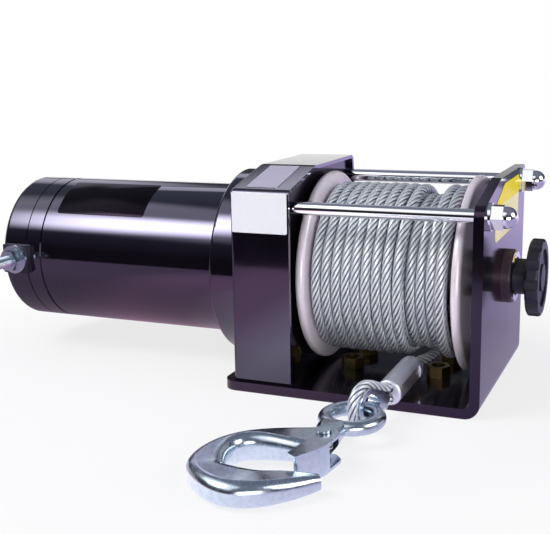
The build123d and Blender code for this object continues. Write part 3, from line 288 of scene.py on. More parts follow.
def make_turned_group():
    """Fine rings round the winch's long axis, as a lathe leaves them."""
    tree, given, out = group_tree(
        "Turned rings", [("Rings per metre", 2500.0), ("Low", 0.2), ("High", 0.4)],
        [("Value", "NodeSocketFloat"), ("Height", "NodeSocketFloat")])
    at = tree.nodes.new("ShaderNodeTexCoord").outputs["Object"]
    apart = joined(tree, "ShaderNodeSeparateXYZ", {"Vector": at})
    lower = joined(tree, "ShaderNodeMath", {0: apart.outputs["Z"], 1: AXIS_Z}, operation="SUBTRACT")
    flat = joined(tree, "ShaderNodeCombineXYZ", {"X": apart.outputs["Y"], "Y": lower.outputs[0]})
    reach = joined(tree, "ShaderNodeVectorMath", {0: flat.outputs[0]}, operation="LENGTH")
    along = joined(tree, "ShaderNodeMath", {0: reach.outputs["Value"], 1: apart.outputs["X"]}, operation="ADD")
    noise = joined(tree, "ShaderNodeTexNoise", {
        "W": along.outputs[0], "Scale": given.outputs["Rings per metre"], "Detail": 2.0}, noise_dimensions="1D")
    spread = joined(tree, "ShaderNodeMapRange", {
        "Value": noise.outputs["Fac"], "From Min": 0.3, "From Max": 0.7,
        "To Min": given.outputs["Low"], "To Max": given.outputs["High"]})
    tree.links.new(spread.outputs["Result"], out.inputs["Value"])
    tree.links.new(noise.outputs["Fac"], out.inputs["Height"])
    return tree


GROUPS = {}


def finish_nodes(name, **sockets):
    """A new material with its shader's plain sockets set."""
    finish = bpy.data.materials.new(name)
    finish.use_nodes = True
    shader = finish.node_tree.nodes["Principled BSDF"]
    for key, value in sockets.items():
        shader.inputs[key.replace("_", " ")].default_value = value
    return finish, finish.node_tree, shader


def use_group(tree, group, **values):
    """Place a shared node group in a material with its own values."""
    node = tree.nodes.new("ShaderNodeGroup")
    node.node_tree = GROUPS[group]
    for key, value in values.items():
        node.inputs[key.replace("_", " ")].default_value = value
    return node


def bump(tree, shader, height, depth, strength=0.5):
    """Let a height tilt the shader's normal."""
    node = joined(tree, "ShaderNodeBump", {"Height": height, "Distance": depth, "Strength": strength})
    tree.links.new(node.outputs["Normal"], shader.inputs["Normal"])
    return node


def between(tree, mask, low, high):
    """A colour that goes from low to high with the mask."""
    node = joined(tree, "ShaderNodeMix", {"Factor": mask}, data_type="RGBA")
    node.inputs[6].default_value = (*low, 1.0)
    node.inputs[7].default_value = (*high, 1.0)
    return node.outputs[2]


def shade(colour, factor):
    """A colour made lighter or darker."""
    return tuple(min(1.0, c * factor) for c in colour)


# Finishes

def painted(name, colour, rough, peel, dusty, **sockets):
    """Enamel on steel: slight orange peel, faint dust and a few fine rubs."""
    finish, tree, shader = finish_nodes(name, **sockets)
    grain = use_group(tree, "Grain", Scale=90.0, Detail_scale=700.0, Low=0.0, High=1.0)
    rub = use_group(tree, "Rubbed lines", Scale=70.0, Amount=0.35)
    tree.links.new(between(tree, grain.outputs["Value"], shade(colour, 0.85), shade(colour, 1.2)),
                   shader.inputs["Base Color"])
    spread = joined(tree, "ShaderNodeMapRange", {
        "Value": grain.outputs["Value"], "To Min": rough, "To Max": rough + dusty})
    rubbed = joined(tree, "ShaderNodeMath", {0: rub.outputs["Mask"], 1: 0.25, 2: spread.outputs["Result"]},
                    operation="MULTIPLY_ADD")
    tree.links.new(rubbed.outputs[0], shader.inputs["Roughness"])
    skin = use_group(tree, "Grain", Scale=350.0, Detail_scale=900.0)
    bump(tree, shader, skin.outputs["Height"], peel, 0.35)
    return finish


def plated(name, colour, low, high, blotch, depth=0.00003, scale=160.0):
    """Zinc or chrome plate: blotchy tint and uneven gloss."""
    finish, tree, shader = finish_nodes(name, Metallic=1.0)
    grain = use_group(tree, "Grain", Scale=scale, Detail_scale=scale * 9)
    tree.links.new(between(tree, grain.outputs["Value"], shade(colour, 1 - blotch), shade(colour, 1 + blotch)),
                   shader.inputs["Base Color"])
    gloss = use_group(tree, "Grain", Scale=scale * 0.6, Detail_scale=scale * 5, Low=low, High=high)
    rub = use_group(tree, "Rubbed lines", Scale=110.0, Amount=0.2)
    rubbed = joined(tree, "ShaderNodeMath", {0: rub.outputs["Mask"], 1: gloss.outputs["Value"]}, operation="ADD")
    tree.links.new(rubbed.outputs[0], shader.inputs["Roughness"])
    bump(tree, shader, grain.outputs["Height"], depth, 0.4)
    return finish


def turned(name, colour, low, high, rings=2500.0):
    """Machined metal with lathe rings round the long axis."""
    finish, tree, shader = finish_nodes(name, Metallic=1.0)
    ring = use_group(tree, "Turned rings", Rings_per_metre=rings, Low=low, High=high)
    grain = use_group(tree, "Grain", Scale=120.0, Detail_scale=1400.0)
    tree.links.new(between(tree, grain.outputs["Value"], shade(colour, 0.9), shade(colour, 1.08)),
                   shader.inputs["Base Color"])
    tree.links.new(ring.outputs["Value"], shader.inputs["Roughness"])
    bump(tree, shader, ring.outputs["Height"], 0.00002, 0.4)
    return finish


def moulded(name, colour, low, high, metallic=0.0, depth=0.00004, scale=1500.0, blotch=0.2):
    """Plastic, carbon, castings or sintered metal with a fine grain."""
    finish, tree, shader = finish_nodes(name, Metallic=metallic)
    grain = use_group(tree, "Grain", Scale=scale, Detail_scale=scale * 3, Low=low, High=high)
    broad = use_group(tree, "Grain", Scale=90.0, Detail_scale=600.0)
    tree.links.new(between(tree, broad.outputs["Value"], shade(colour, 1 - blotch), shade(colour, 1 + blotch)),
                   shader.inputs["Base Color"])
    tree.links.new(grain.outputs["Value"], shader.inputs["Roughness"])
    bump(tree, shader, grain.outputs["Height"], depth, 0.5)
    return finish


def wire_finish(name, colour, wires=9.0, twist=20.0):
    """Galvanised strands: the single wires show along each strand's own UV map as a bump and as painted shade in
    the grooves between them, and painted shade darkens each strand towards its inner side.
    """
    finish, tree, shader = finish_nodes(name, Metallic=0.55)
    uv = joined(tree, "ShaderNodeUVMap", {}, uv_map="UVMap")
    apart = joined(tree, "ShaderNodeSeparateXYZ", {"Vector": uv.outputs["UV"]})
    round_it = joined(tree, "ShaderNodeMath", {0: apart.outputs["Y"], 1: wires}, operation="MULTIPLY")
    phase = joined(tree, "ShaderNodeMath", {0: apart.outputs["X"], 1: -twist, 2: round_it.outputs[0]},
                   operation="MULTIPLY_ADD")
    turn = joined(tree, "ShaderNodeMath", {0: phase.outputs[0], 1: math.pi}, operation="MULTIPLY")
    wave = joined(tree, "ShaderNodeMath", {0: turn.outputs[0]}, operation="SINE")
    crest = joined(tree, "ShaderNodeMath", {0: wave.outputs[0]}, operation="ABSOLUTE")
    dull = use_group(tree, "Grain", Scale=120.0, Detail_scale=900.0)
    # Painted shade: the colour falls to 70% in the grooves between the single wires
    wire_groove_shade = joined(tree, "ShaderNodeMapRange", {
        "Value": crest.outputs[0], "From Min": 0.0, "From Max": 0.5, "To Min": 0.7, "To Max": 1.0})
    tint = between(tree, dull.outputs["Value"], shade(colour, 0.86), shade(colour, 1.12))
    facing = joined(tree, "ShaderNodeMath", {0: apart.outputs["Y"], 1: 2 * math.pi}, operation="MULTIPLY")
    outward = joined(tree, "ShaderNodeMath", {0: facing.outputs[0]}, operation="COSINE")
    # Painted shade: the colour falls to 12% on each strand's inner side, towards the rope's core
    flank_shade = joined(tree, "ShaderNodeMapRange", {
        "Value": outward.outputs[0], "From Min": 0.10, "From Max": 0.80, "To Min": 0.12, "To Max": 1.0})
    share = joined(tree, "ShaderNodeMath", {0: wire_groove_shade.outputs["Result"], 1: flank_shade.outputs["Result"]},
                   operation="MULTIPLY")
    darker = joined(tree, "ShaderNodeVectorMath", {0: tint}, operation="SCALE")
    tree.links.new(share.outputs[0], darker.inputs["Scale"])
    tree.links.new(darker.outputs["Vector"], shader.inputs["Base Color"])
    gloss = use_group(tree, "Grain", Scale=200.0, Detail_scale=1600.0, Low=0.26, High=0.40)
    tree.links.new(gloss.outputs["Value"], shader.inputs["Roughness"])
    bump(tree, shader, crest.outputs[0], 0.00006, 0.6)
    return finish


FINISHES = {}


def make_finishes(rope, colours, labels):
    """Build the shared node groups, then one material for each finish."""
    GROUPS["Grain"] = make_grain_group()
    GROUPS["Rubbed lines"] = make_rub_group()
    GROUPS["Turned rings"] = make_turned_group()
    lilac = (0.84, 0.58, 1.0, 1.0)
    FINISHES.update({
        "black_paint": painted("Gloss black enamel", tuple(colours.paint), 0.06, 0.00001, 0.05,
                               Specular_IOR_Level=0.8, Specular_Tint=(0.60, 0.51, 1.0, 1.0),
                               Coat_Weight=1.0, Coat_Roughness=0.05),
        "satin_black": painted("Satin black enamel", tuple(colours.paint), 0.11, 0.000008, 0.06,
                               Specular_IOR_Level=0.7, Specular_Tint=lilac),
        "drum_paint": moulded("Pinkish grey drum paint", tuple(colours.drum), 0.26, 0.36, 0.2,
                              depth=0.000015, scale=700.0, blotch=0.05),
        "chrome": plated("Chrome", (0.86, 0.86, 0.88), 0.04, 0.10, 0.02, depth=0.00001),
        "yellow_zinc": plated("Yellow zinc", tuple(colours.yellow), 0.25, 0.42, 0.16),
        "blue_zinc": plated("Blue white zinc", tuple(colours.zinc), 0.14, 0.30, 0.13, depth=0.00002, scale=420.0),
        "wire_rope": wire_finish("Galvanised wire", tuple(rope.colour)),
        "steel": turned("Machined steel", (0.56, 0.56, 0.57), 0.22, 0.40),
        "iron": turned("Laminated iron", (0.30, 0.30, 0.31), 0.35, 0.6, rings=1800.0),
        "magnet": moulded("Ferrite", (0.10, 0.10, 0.11), 0.55, 0.8),
        "copper": turned("Copper", (0.72, 0.40, 0.24), 0.25, 0.45, rings=1200.0),
        "bronze": moulded("Sintered bronze", (0.66, 0.48, 0.24), 0.35, 0.55, metallic=1.0),
        "die_cast": moulded("Cast aluminium", (0.60, 0.60, 0.62), 0.38, 0.55, metallic=1.0),
        "ferrule": plated("Pressed aluminium", (0.88, 0.87, 0.95), 0.36, 0.48, 0.04, scale=260.0),
        "black_plastic": moulded("Black plastic", (0.016, 0.014, 0.026), 0.36, 0.52),
        "dark_collar": moulded("Blackened steel", (0.07, 0.043, 0.058), 0.30, 0.46, metallic=0.5),
        "carbon": moulded("Carbon", (0.06, 0.06, 0.06), 0.5, 0.75),
        "white_label": moulded("White label film", tuple(labels.white), 0.26, 0.34,
                               depth=0.000005, scale=900.0, blotch=0.02),
        "silver_label": plated("Silver label film", (0.94, 0.90, 1.0), 0.30, 0.40, 0.03, depth=0.000005),
        "clear_label": painted("Dark label film", (0.003, 0.0025, 0.004), 0.09, 0.000005, 0.03,
                               Specular_IOR_Level=0.08, Specular_Tint=lilac),
    })
    FINISHES["yellow_label"] = two_tone_label(tuple(labels.yellow), tuple(labels.cream))


def two_tone_label(upper, lower):
    """Printed film that is yellow above and cream below."""
    finish, tree, shader = finish_nodes("Yellow label film", Specular_IOR_Level=0.05)
    at = tree.nodes.new("ShaderNodeTexCoord").outputs["Object"]
    apart = joined(tree, "ShaderNodeSeparateXYZ", {"Vector": at})
    step = joined(tree, "ShaderNodeMapRange", {
        "Value": apart.outputs["Z"], "From Min": YELLOW_FROM_Z, "From Max": YELLOW_FROM_Z + 0.0004})
    grain = use_group(tree, "Grain", Scale=300.0, Detail_scale=2500.0, Low=0.30, High=0.42)
    tree.links.new(between(tree, step.outputs["Result"], lower, upper), shader.inputs["Base Color"])
    tree.links.new(grain.outputs["Value"], shader.inputs["Roughness"])
    bump(tree, shader, grain.outputs["Height"], 0.00001, 0.3)
    return finish


# Rope

def route_line(name, points, resolution):
    """The points of a smooth NURBS line through a rope's route."""
    curve = bpy.data.curves.new(name, "CURVE")
    curve.dimensions = "3D"
    spline = curve.splines.new("NURBS")
    spline.points.add(len(points) - 1)
    for at, point in zip(spline.points, points):
        at.co = (*point, 1.0)
    spline.order_u = 3
    spline.use_endpoint_u = True
    spline.resolution_u = resolution
    holder = bpy.data.objects.new(name, curve)
    bpy.context.scene.collection.objects.link(holder)
    mesh = bpy.data.meshes.new_from_object(holder)
    line = np.array([v.co for v in mesh.vertices], float)
    bpy.data.objects.remove(holder)
    bpy.data.meshes.remove(mesh)
    bpy.data.curves.remove(curve)
    return line


def evenly(line, step):
    """The same line with points a step apart."""
    lengths = np.concatenate([[0.0], np.cumsum(np.linalg.norm(np.diff(line, axis=0), axis=1))])
    count = max(2, int(round(lengths[-1] / step)) + 1)
    at = np.linspace(0.0, lengths[-1], count)
    return np.stack([np.interp(at, lengths, line[:, k]) for k in range(3)], 1), at


def directions(line):
    """The line's direction at each point."""
    tangent = np.gradient(line, axis=0)
    return tangent / np.linalg.norm(tangent, axis=1, keepdims=True)


def carried_frame(tangent):
    """Side vectors carried along the line without twist."""
    side = np.zeros_like(tangent)
    first = np.cross(tangent[0], (0.0, 0.0, 1.0))
    if np.linalg.norm(first) < 0.1:
        first = np.cross(tangent[0], (1.0, 0.0, 0.0))
    side[0] = first / np.linalg.norm(first)
    for k in range(1, len(tangent)):
        turned_side = side[k - 1] - tangent[k] * (side[k - 1] @ tangent[k])
        side[k] = turned_side / np.linalg.norm(turned_side)
    return side, np.cross(tangent, side)


def stranded_rope(name, line, diameter, lay, strands, per_lay, sides):
    """A right-hand laid rope along a line, each strand a closed tube with its own UV map."""
    centre, along = evenly(line, lay / per_lay)
    side, up = carried_frame(directions(centre))
    strand_r = diameter / 2 * math.sin(math.pi / strands) / (1 + math.sin(math.pi / strands)) * 1.01
    circle_r = diameter / 2 - strand_r
    rings = len(centre)
    corner = 2 * np.pi * np.arange(sides) / sides
    points, faces, uvs = [], [], []
    for s in range(strands):
        turn = 2 * np.pi * (along / lay + s / strands)
        outward = np.cos(turn)[:, None] * side + np.sin(turn)[:, None] * up
        middle = centre + circle_r * outward
        heading = directions(middle)
        across = np.cross(heading, outward)
        across /= np.linalg.norm(across, axis=1, keepdims=True)
        outward = np.cross(across, heading)
        ring = middle[:, None] + strand_r * (
            np.cos(corner)[None, :, None] * outward[:, None] + np.sin(corner)[None, :, None] * across[:, None])
        start = len(points)
        points.extend(ring.reshape(-1, 3).tolist())
        lap = along / lay
        for k in range(rings - 1):
            for c in range(sides):
                low, high = start + k * sides, start + (k + 1) * sides
                nxt = (c + 1) % sides
                faces.append((low + c, low + nxt, high + nxt, high + c))
                v0, v1 = c / sides, (c + 1) / sides
                uvs.append(((lap[k], v0), (lap[k], v1), (lap[k + 1], v1), (lap[k + 1], v0)))
        for ring_at, order in ((start, range(sides - 1, -1, -1)), (start + (rings - 1) * sides, range(sides))):
            faces.append(tuple(ring_at + c for c in order))
            uvs.append(tuple((0.0, c / sides) for c in order))
    mesh = bpy.data.meshes.new(name)
    mesh.from_pydata(points, [], faces)
    layer = mesh.uv_layers.new(name="UVMap")
    layer.data.foreach_set("uv", np.array([n for face in uvs for uv in face for n in uv], np.float32))
    mesh.validate()
    obj = bpy.data.objects.new(name, mesh)
    bpy.context.scene.collection.objects.link(obj)
    only(obj)
    bpy.ops.object.shade_smooth()
    return obj


def winding_levels(drop):
    """Radius of each half turn: outer turns, a dip to the lower layer, two raised turns, a last dip."""
    first = WINDING_STEPS - LOWER_STOPS - RAISED_STOPS
    high, low = OUTER_TURN_R - drop, OUTER_TURN_R - LAYER_DROP - drop
    return [high] * first + [low] * LOWER_STOPS + [high] * RAISED_STOPS + [low]


def winding_route(rope_d, drop, wander):
    """Control points of the rope on the drum, from below the left flange to the right flange."""
    per_half = 10
    half_pitch = (2 * DRUM_INSIDE - rope_d) / WINDING_STEPS
    levels = winding_levels(drop)
    # The smooth line runs inside its control points by this much
    outset = 1.0 / (0.75 + 0.25 * math.cos(math.pi / per_half))
    random = np.random.default_rng(7)
    noise = random.normal(size=(WINDING_STEPS + 1, 2))
    noise[0] = noise[-1] = 0.0
    points = []
    for k in range(WINDING_STEPS):
        for j in range(per_half + (k == WINDING_STEPS - 1)):
            part = j / per_half
            ease = part * part * (3 - 2 * part)
            x = half_pitch * (k + part - WINDING_STEPS / 2)
            radius = levels[k] + (levels[k + 1] - levels[k]) * ease
            stray = noise[k] + (noise[k + 1] - noise[k]) * ease
            x += wander * stray[0]
            radius = (radius - wander * abs(stray[1])) * outset
            angle = math.pi * (k + part)
            points.append((x, -radius * math.sin(angle), AXIS_Z - radius * math.cos(angle)))
    return points


def ferrule_axis():
    """The direction in which the rope runs through the ferrule."""
    return (FERRULE_FRONT - Vector(LEAD_ROUTE[-1])).normalized()


def lead_route():
    """Points of the rope from the drum's underside to inside the ferrule."""
    return [Vector(p) for p in LEAD_ROUTE] + [Vector(LEAD_ROUTE[-1]) + ferrule_axis() * IN_FERRULE]


def eye_route(diameter):
    """Corner points of the rope round the thimble, out of the ferrule and back into it."""
    forward = Vector((-math.sin(LOOP_YAW), -math.cos(LOOP_YAW), 0.0))
    rise = Vector((0.0, 0.0, diameter / 2 + 0.00005))
    axis = ferrule_axis()
    corner = LOOP_R / 0.9 / math.cos(math.pi / 8)
    turns = [math.radians(a) for a in (112.5, 67.5, 22.5, -22.5, -67.5, -112.5)]
    up = Vector((0.0, 0.0, 1.0))
    around = [
        FERRULE_FRONT + forward * (LOOP_CENTRE + corner * math.cos(a)) + up * corner * math.sin(a) for a in turns]
    out = [FERRULE_FRONT + rise - axis * IN_FERRULE, FERRULE_FRONT + rise + axis * LEG_STRAIGHT]
    back = [FERRULE_FRONT - rise + axis * LEG_STRAIGHT, FERRULE_FRONT - rise - axis * IN_FERRULE]
    return out + around + back


class WINCH_OT_drum_rope(bpy.types.Operator):
    """Wind the stranded rope on the drum, outer turns and the layer below"""
    bl_idname = "winch.drum_rope"
    bl_label = "Rope on the drum"

    def execute(self, context):
        rope = context.scene.winch_rope
        line = route_line("winding_line", winding_route(rope.diameter, 0.0, WINDING_WANDER), 6)
        outer = stranded_rope("drum_rope", line, rope.diameter, rope.lay, rope.strands, per_lay=14, sides=8)
        finish_piece(outer, "drum", "wire_rope", FINISHES["wire_rope"], "rope_winding")
        line = route_line("layer_line", winding_route(rope.diameter, LAYER_DROP, 0.0), 6)
        inner = stranded_rope(
            "drum_rope_below", line, rope.diameter * 0.97, rope.lay, rope.strands, per_lay=12, sides=5)
        finish_piece(inner, "drum", "wire_rope", FINISHES["wire_rope"], "rope_core")
        return {"FINISHED"}


class WINCH_OT_rope_end(bpy.types.Operator):
    """Lay the rope's free end from the drum to the ferrule, and the eye round the thimble"""
    bl_idname = "winch.rope_end"
    bl_label = "Rope end"

    def execute(self, context):
        rope = context.scene.winch_rope
        line = route_line("lead_line", lead_route(), LINE_RESOLUTION)
        lead = stranded_rope("free_rope", line, rope.diameter, rope.lay, rope.strands, per_lay=16, sides=12)
        finish_piece(lead, "frame", "wire_rope", FINISHES["wire_rope"], "rope_lead")
        line = route_line("eye_line", eye_route(rope.diameter), LINE_RESOLUTION)
        eye = stranded_rope("rope_loop", line, rope.diameter, rope.lay, rope.strands, per_lay=18, sides=12)
        finish_piece(eye, "frame", "wire_rope", FINISHES["wire_rope"], "rope_eye")
        return {"FINISHED"}


# Labels

def label_film(name, width, height, corner, thickness, matrix, cut=None):
    """A blank film label with rounded corners and a softened rim, stuck on its place."""
    clear_selection()
    bpy.ops.mesh.primitive_plane_add(size=1.0)
    film = named(name)
    film.scale = (width, height, 1.0)
    bpy.ops.object.transform_apply(location=False, rotation=False, scale=True)
    edit(film)
    bpy.ops.mesh.select_all(action="SELECT")
    if cut:
        bpy.ops.mesh.bisect(plane_co=cut[0], plane_no=cut[1], clear_outer=True)
        bpy.ops.mesh.select_all(action="SELECT")
    bpy.ops.mesh.bevel(offset=corner, segments=6, affect="VERTICES")
    bpy.ops.mesh.extrude_region_move(TRANSFORM_OT_translate={"value": (0.0, 0.0, thickness)})
    bpy.ops.mesh.inset(thickness=thickness * 0.8, depth=0.0)
    bpy.ops.transform.translate(value=(0.0, 0.0, thickness * 0.25))
    bpy.ops.mesh.select_all(action="SELECT")
    bpy.ops.mesh.normals_make_consistent(inside=False)
    bpy.ops.object.mode_set(mode="OBJECT")
    place(film, matrix)
    return film


def face_matrix(origin, across, up):
    """A place whose X runs across and Y up the face."""
    x = Vector(across).normalized()
    y = Vector(up).normalized()
    return Matrix.LocRotScale(Vector(origin), Matrix((x, y, x.cross(y))).transposed(), None)


class WINCH_OT_labels(bpy.types.Operator):
    """Stick the blank labels on the hood, the upright and the motor"""
    bl_idname = "winch.labels"
    bl_label = "Blank labels"

    def execute(self, context):
        t = context.scene.winch_labels.thickness
        front = label_film("hood_label", 0.0274, 0.0188, 0.0008, t,
                           face_matrix((-0.0532, HOOD_FRONT_Y, 0.0856), (1, 0, 0), (0, 0, 1)))
        finish_piece(front, "frame", "black_paint", FINISHES["white_label"])
        slope = Vector((0.0, HOOD_SLOPE_END_Y - HOOD_FRONT_Y, HOOD_TOP_Z - HOOD_SHOULDER_Z))
        middle = Vector((-0.0535, HOOD_FRONT_Y, HOOD_SHOULDER_Z)) + slope * 0.53
        top = label_film("hood_slope_label", 0.0155, 0.0300, 0.0008, t, face_matrix(middle, (1, 0, 0), slope))
        finish_piece(top, "frame", "black_paint", FINISHES["silver_label"])
        side = label_film("upright_label", 0.058, 0.0240, 0.0020, t,
                          face_matrix((UPRIGHT_FACE_X, 0.0, 0.0853), (0, 1, 0), (0, 0, 1)),
                          cut=((-0.029, 0.0045, 0.0), (-0.34, 0.94, 0.0)))
        finish_piece(side, "frame", "black_paint", FINISHES["yellow_label"])
        motor = label_film("motor_label", 0.052, 0.0257, 0.0015, t, Matrix.Identity(4))
        self.wrap(motor)
        finish_piece(motor, "frame", "black_paint", FINISHES["clear_label"])
        return {"FINISHED"}

    def wrap(self, film):
        """Bend the motor's label round the can, up its front."""
        edit(film)
        for k in range(-7, 8):
            bpy.ops.mesh.select_all(action="SELECT")
            bpy.ops.mesh.bisect(plane_co=(0.0, k * MOTOR_LABEL_CUT, 0.0), plane_no=(0.0, 1.0, 0.0))
        bpy.ops.object.mode_set(mode="OBJECT")
        for v in film.data.vertices:
            angle = MOTOR_LABEL_RISE + v.co.y / CAN_R
            reach = CAN_R + v.co.z
            v.co = (v.co.x + MOTOR_LABEL_X, -reach * math.cos(angle), AXIS_Z + reach * math.sin(angle))
        only(film)
        bpy.ops.object.shade_smooth_by_angle(angle=math.radians(30))


# Terminals

class WINCH_OT_terminals(bpy.types.Operator):
    """Cut real threads on the two terminal studs"""
    bl_idname = "winch.terminals"
    bl_label = "Threaded terminals"

    def execute(self, context):
        low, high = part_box("terminal_studs")
        x, z = (low.x + high.x) / 2, (low.z + high.z) / 2
        front = self.stud("terminal_thread", 0.027, high.y)
        only(front)
        bpy.ops.object.duplicate()
        back = bpy.context.object
        place(front, Matrix.Translation((x, 0.0, z)) @ Matrix.Rotation(math.radians(90), 4, "X"))
        place(back, Matrix.Translation((x, 0.0, z)) @ Matrix.Rotation(math.radians(-90), 4, "X"))
        only(front)
        back.select_set(True)
        bpy.ops.object.join()
        studs = named("terminal_threads")
        finish_piece(studs, "frame", "blue_zinc", FINISHES["blue_zinc"], "terminal_studs")
        return {"FINISHED"}

    def stud(self, name, inner, tip):
        """A rod up the Z axis with chamfered ends and a thread on its free end."""
        clear_selection()
        bpy.ops.mesh.primitive_cylinder_add(
            vertices=40, radius=THREAD_ROOT_R, depth=tip - inner, location=(0, 0, (tip + inner) / 2))
        rod = named(name)
        bpy.ops.object.transform_apply(location=True, rotation=False, scale=False)
        edit(rod)
        bpy.ops.mesh.select_all(action="DESELECT")
        bpy.ops.object.mode_set(mode="OBJECT")
        for face in rod.data.polygons:
            face.select = abs(face.normal.z) > 0.9
        bpy.ops.object.mode_set(mode="EDIT")
        bpy.ops.mesh.bevel(offset=0.0005, segments=2)
        bpy.ops.object.mode_set(mode="OBJECT")
        clear_selection()
        bpy.ops.mesh.primitive_circle_add(vertices=4, radius=THREAD_PITCH * 0.5, fill_type="NOTHING")
        ridge = named(name + "_ridge")
        edit(ridge)
        bpy.ops.mesh.select_all(action="SELECT")
        bpy.ops.transform.resize(value=(0.8, 0.96, 1.0))
        bpy.ops.transform.rotate(value=math.radians(90), orient_axis="X", center_override=(0, 0, 0))
        bpy.ops.transform.translate(value=(THREAD_R - THREAD_PITCH * 0.4, 0.0, 0.0))
        bpy.ops.object.mode_set(mode="OBJECT")
        turns = int((tip - THREAD_START - 0.001) / THREAD_PITCH)
        apply_modifier(ridge, "SCREW", axis="Z", screw_offset=THREAD_PITCH, iterations=turns, steps=28,
                       render_steps=28, use_smooth_shade=True, use_merge_vertices=False)
        edit(ridge)
        bpy.ops.mesh.select_all(action="DESELECT")
        bpy.ops.mesh.select_non_manifold()
        bpy.ops.mesh.edge_face_add()
        bpy.ops.mesh.select_all(action="SELECT")
        bpy.ops.mesh.normals_make_consistent(inside=False)
        bpy.ops.object.mode_set(mode="OBJECT")
        place(ridge, Matrix.Translation((0.0, 0.0, THREAD_START)))
        only(rod)
        ridge.select_set(True)
        bpy.ops.object.join()
        bpy.ops.object.shade_smooth_by_angle(angle=math.radians(35))
        return bpy.context.object


# Finishes of the CAD pieces

class WINCH_OT_finishes(bpy.types.Operator):
    """Give every CAD piece the finish of its material slot"""
    bl_idname = "winch.finishes"
    bl_label = "Finishes"

    def execute(self, context):
        scene = context.scene
        make_finishes(scene.winch_rope, scene.winch_finish, scene.winch_labels)
        for part in frame["record"]["subparts"]:
            node = NODES[part["node"]]
            for slot in node.material_slots:
                slot.material = FINISHES[part["material_slot"]]
        return {"FINISHED"}


# Stage

def soft_box(name, at, aim, width, height, radiance, fade=0.2, tint=(1.0, 1.0, 1.0), roll=0.0):
    """An area lamp of the given brightness that fades over a share of its width and height to its rim."""
    lamp = bpy.data.lights.new(name, "AREA")
    lamp.shape = "RECTANGLE"
    lamp.size = width
    lamp.size_y = height
    lamp.energy = radiance * math.pi * width * height
    lamp.color = tint
    lamp.use_nodes = True
    tree = lamp.node_tree
    spot = joined(tree, "ShaderNodeSeparateXYZ", {
        "Vector": tree.nodes.new("ShaderNodeNewGeometry").outputs["Parametric"]})
    level = None
    for axis in ("X", "Y"):
        middle = joined(tree, "ShaderNodeMath", {0: spot.outputs[axis], 1: 0.5}, operation="SUBTRACT")
        off = joined(tree, "ShaderNodeMath", {0: middle.outputs[0]}, operation="ABSOLUTE")
        soft = joined(tree, "ShaderNodeMapRange", {
            "Value": off.outputs[0], "From Min": 0.5, "From Max": 0.5 - fade}, interpolation_type="SMOOTHSTEP")
        level = soft.outputs["Result"] if level is None else joined(
            tree, "ShaderNodeMath", {0: level, 1: soft.outputs["Result"]}, operation="MULTIPLY").outputs[0]
    tree.links.new(level, tree.nodes["Emission"].inputs["Strength"])
    holder = bpy.data.objects.new(name, lamp)
    holder.location = at
    holder.visible_camera = False
    holder.rotation_euler = (Vector(aim) - Vector(at)).to_track_quat("-Z", "Y").to_euler()
    holder.rotation_euler.rotate_axis("Z", roll)
    bpy.context.scene.collection.objects.link(holder)
    return holder


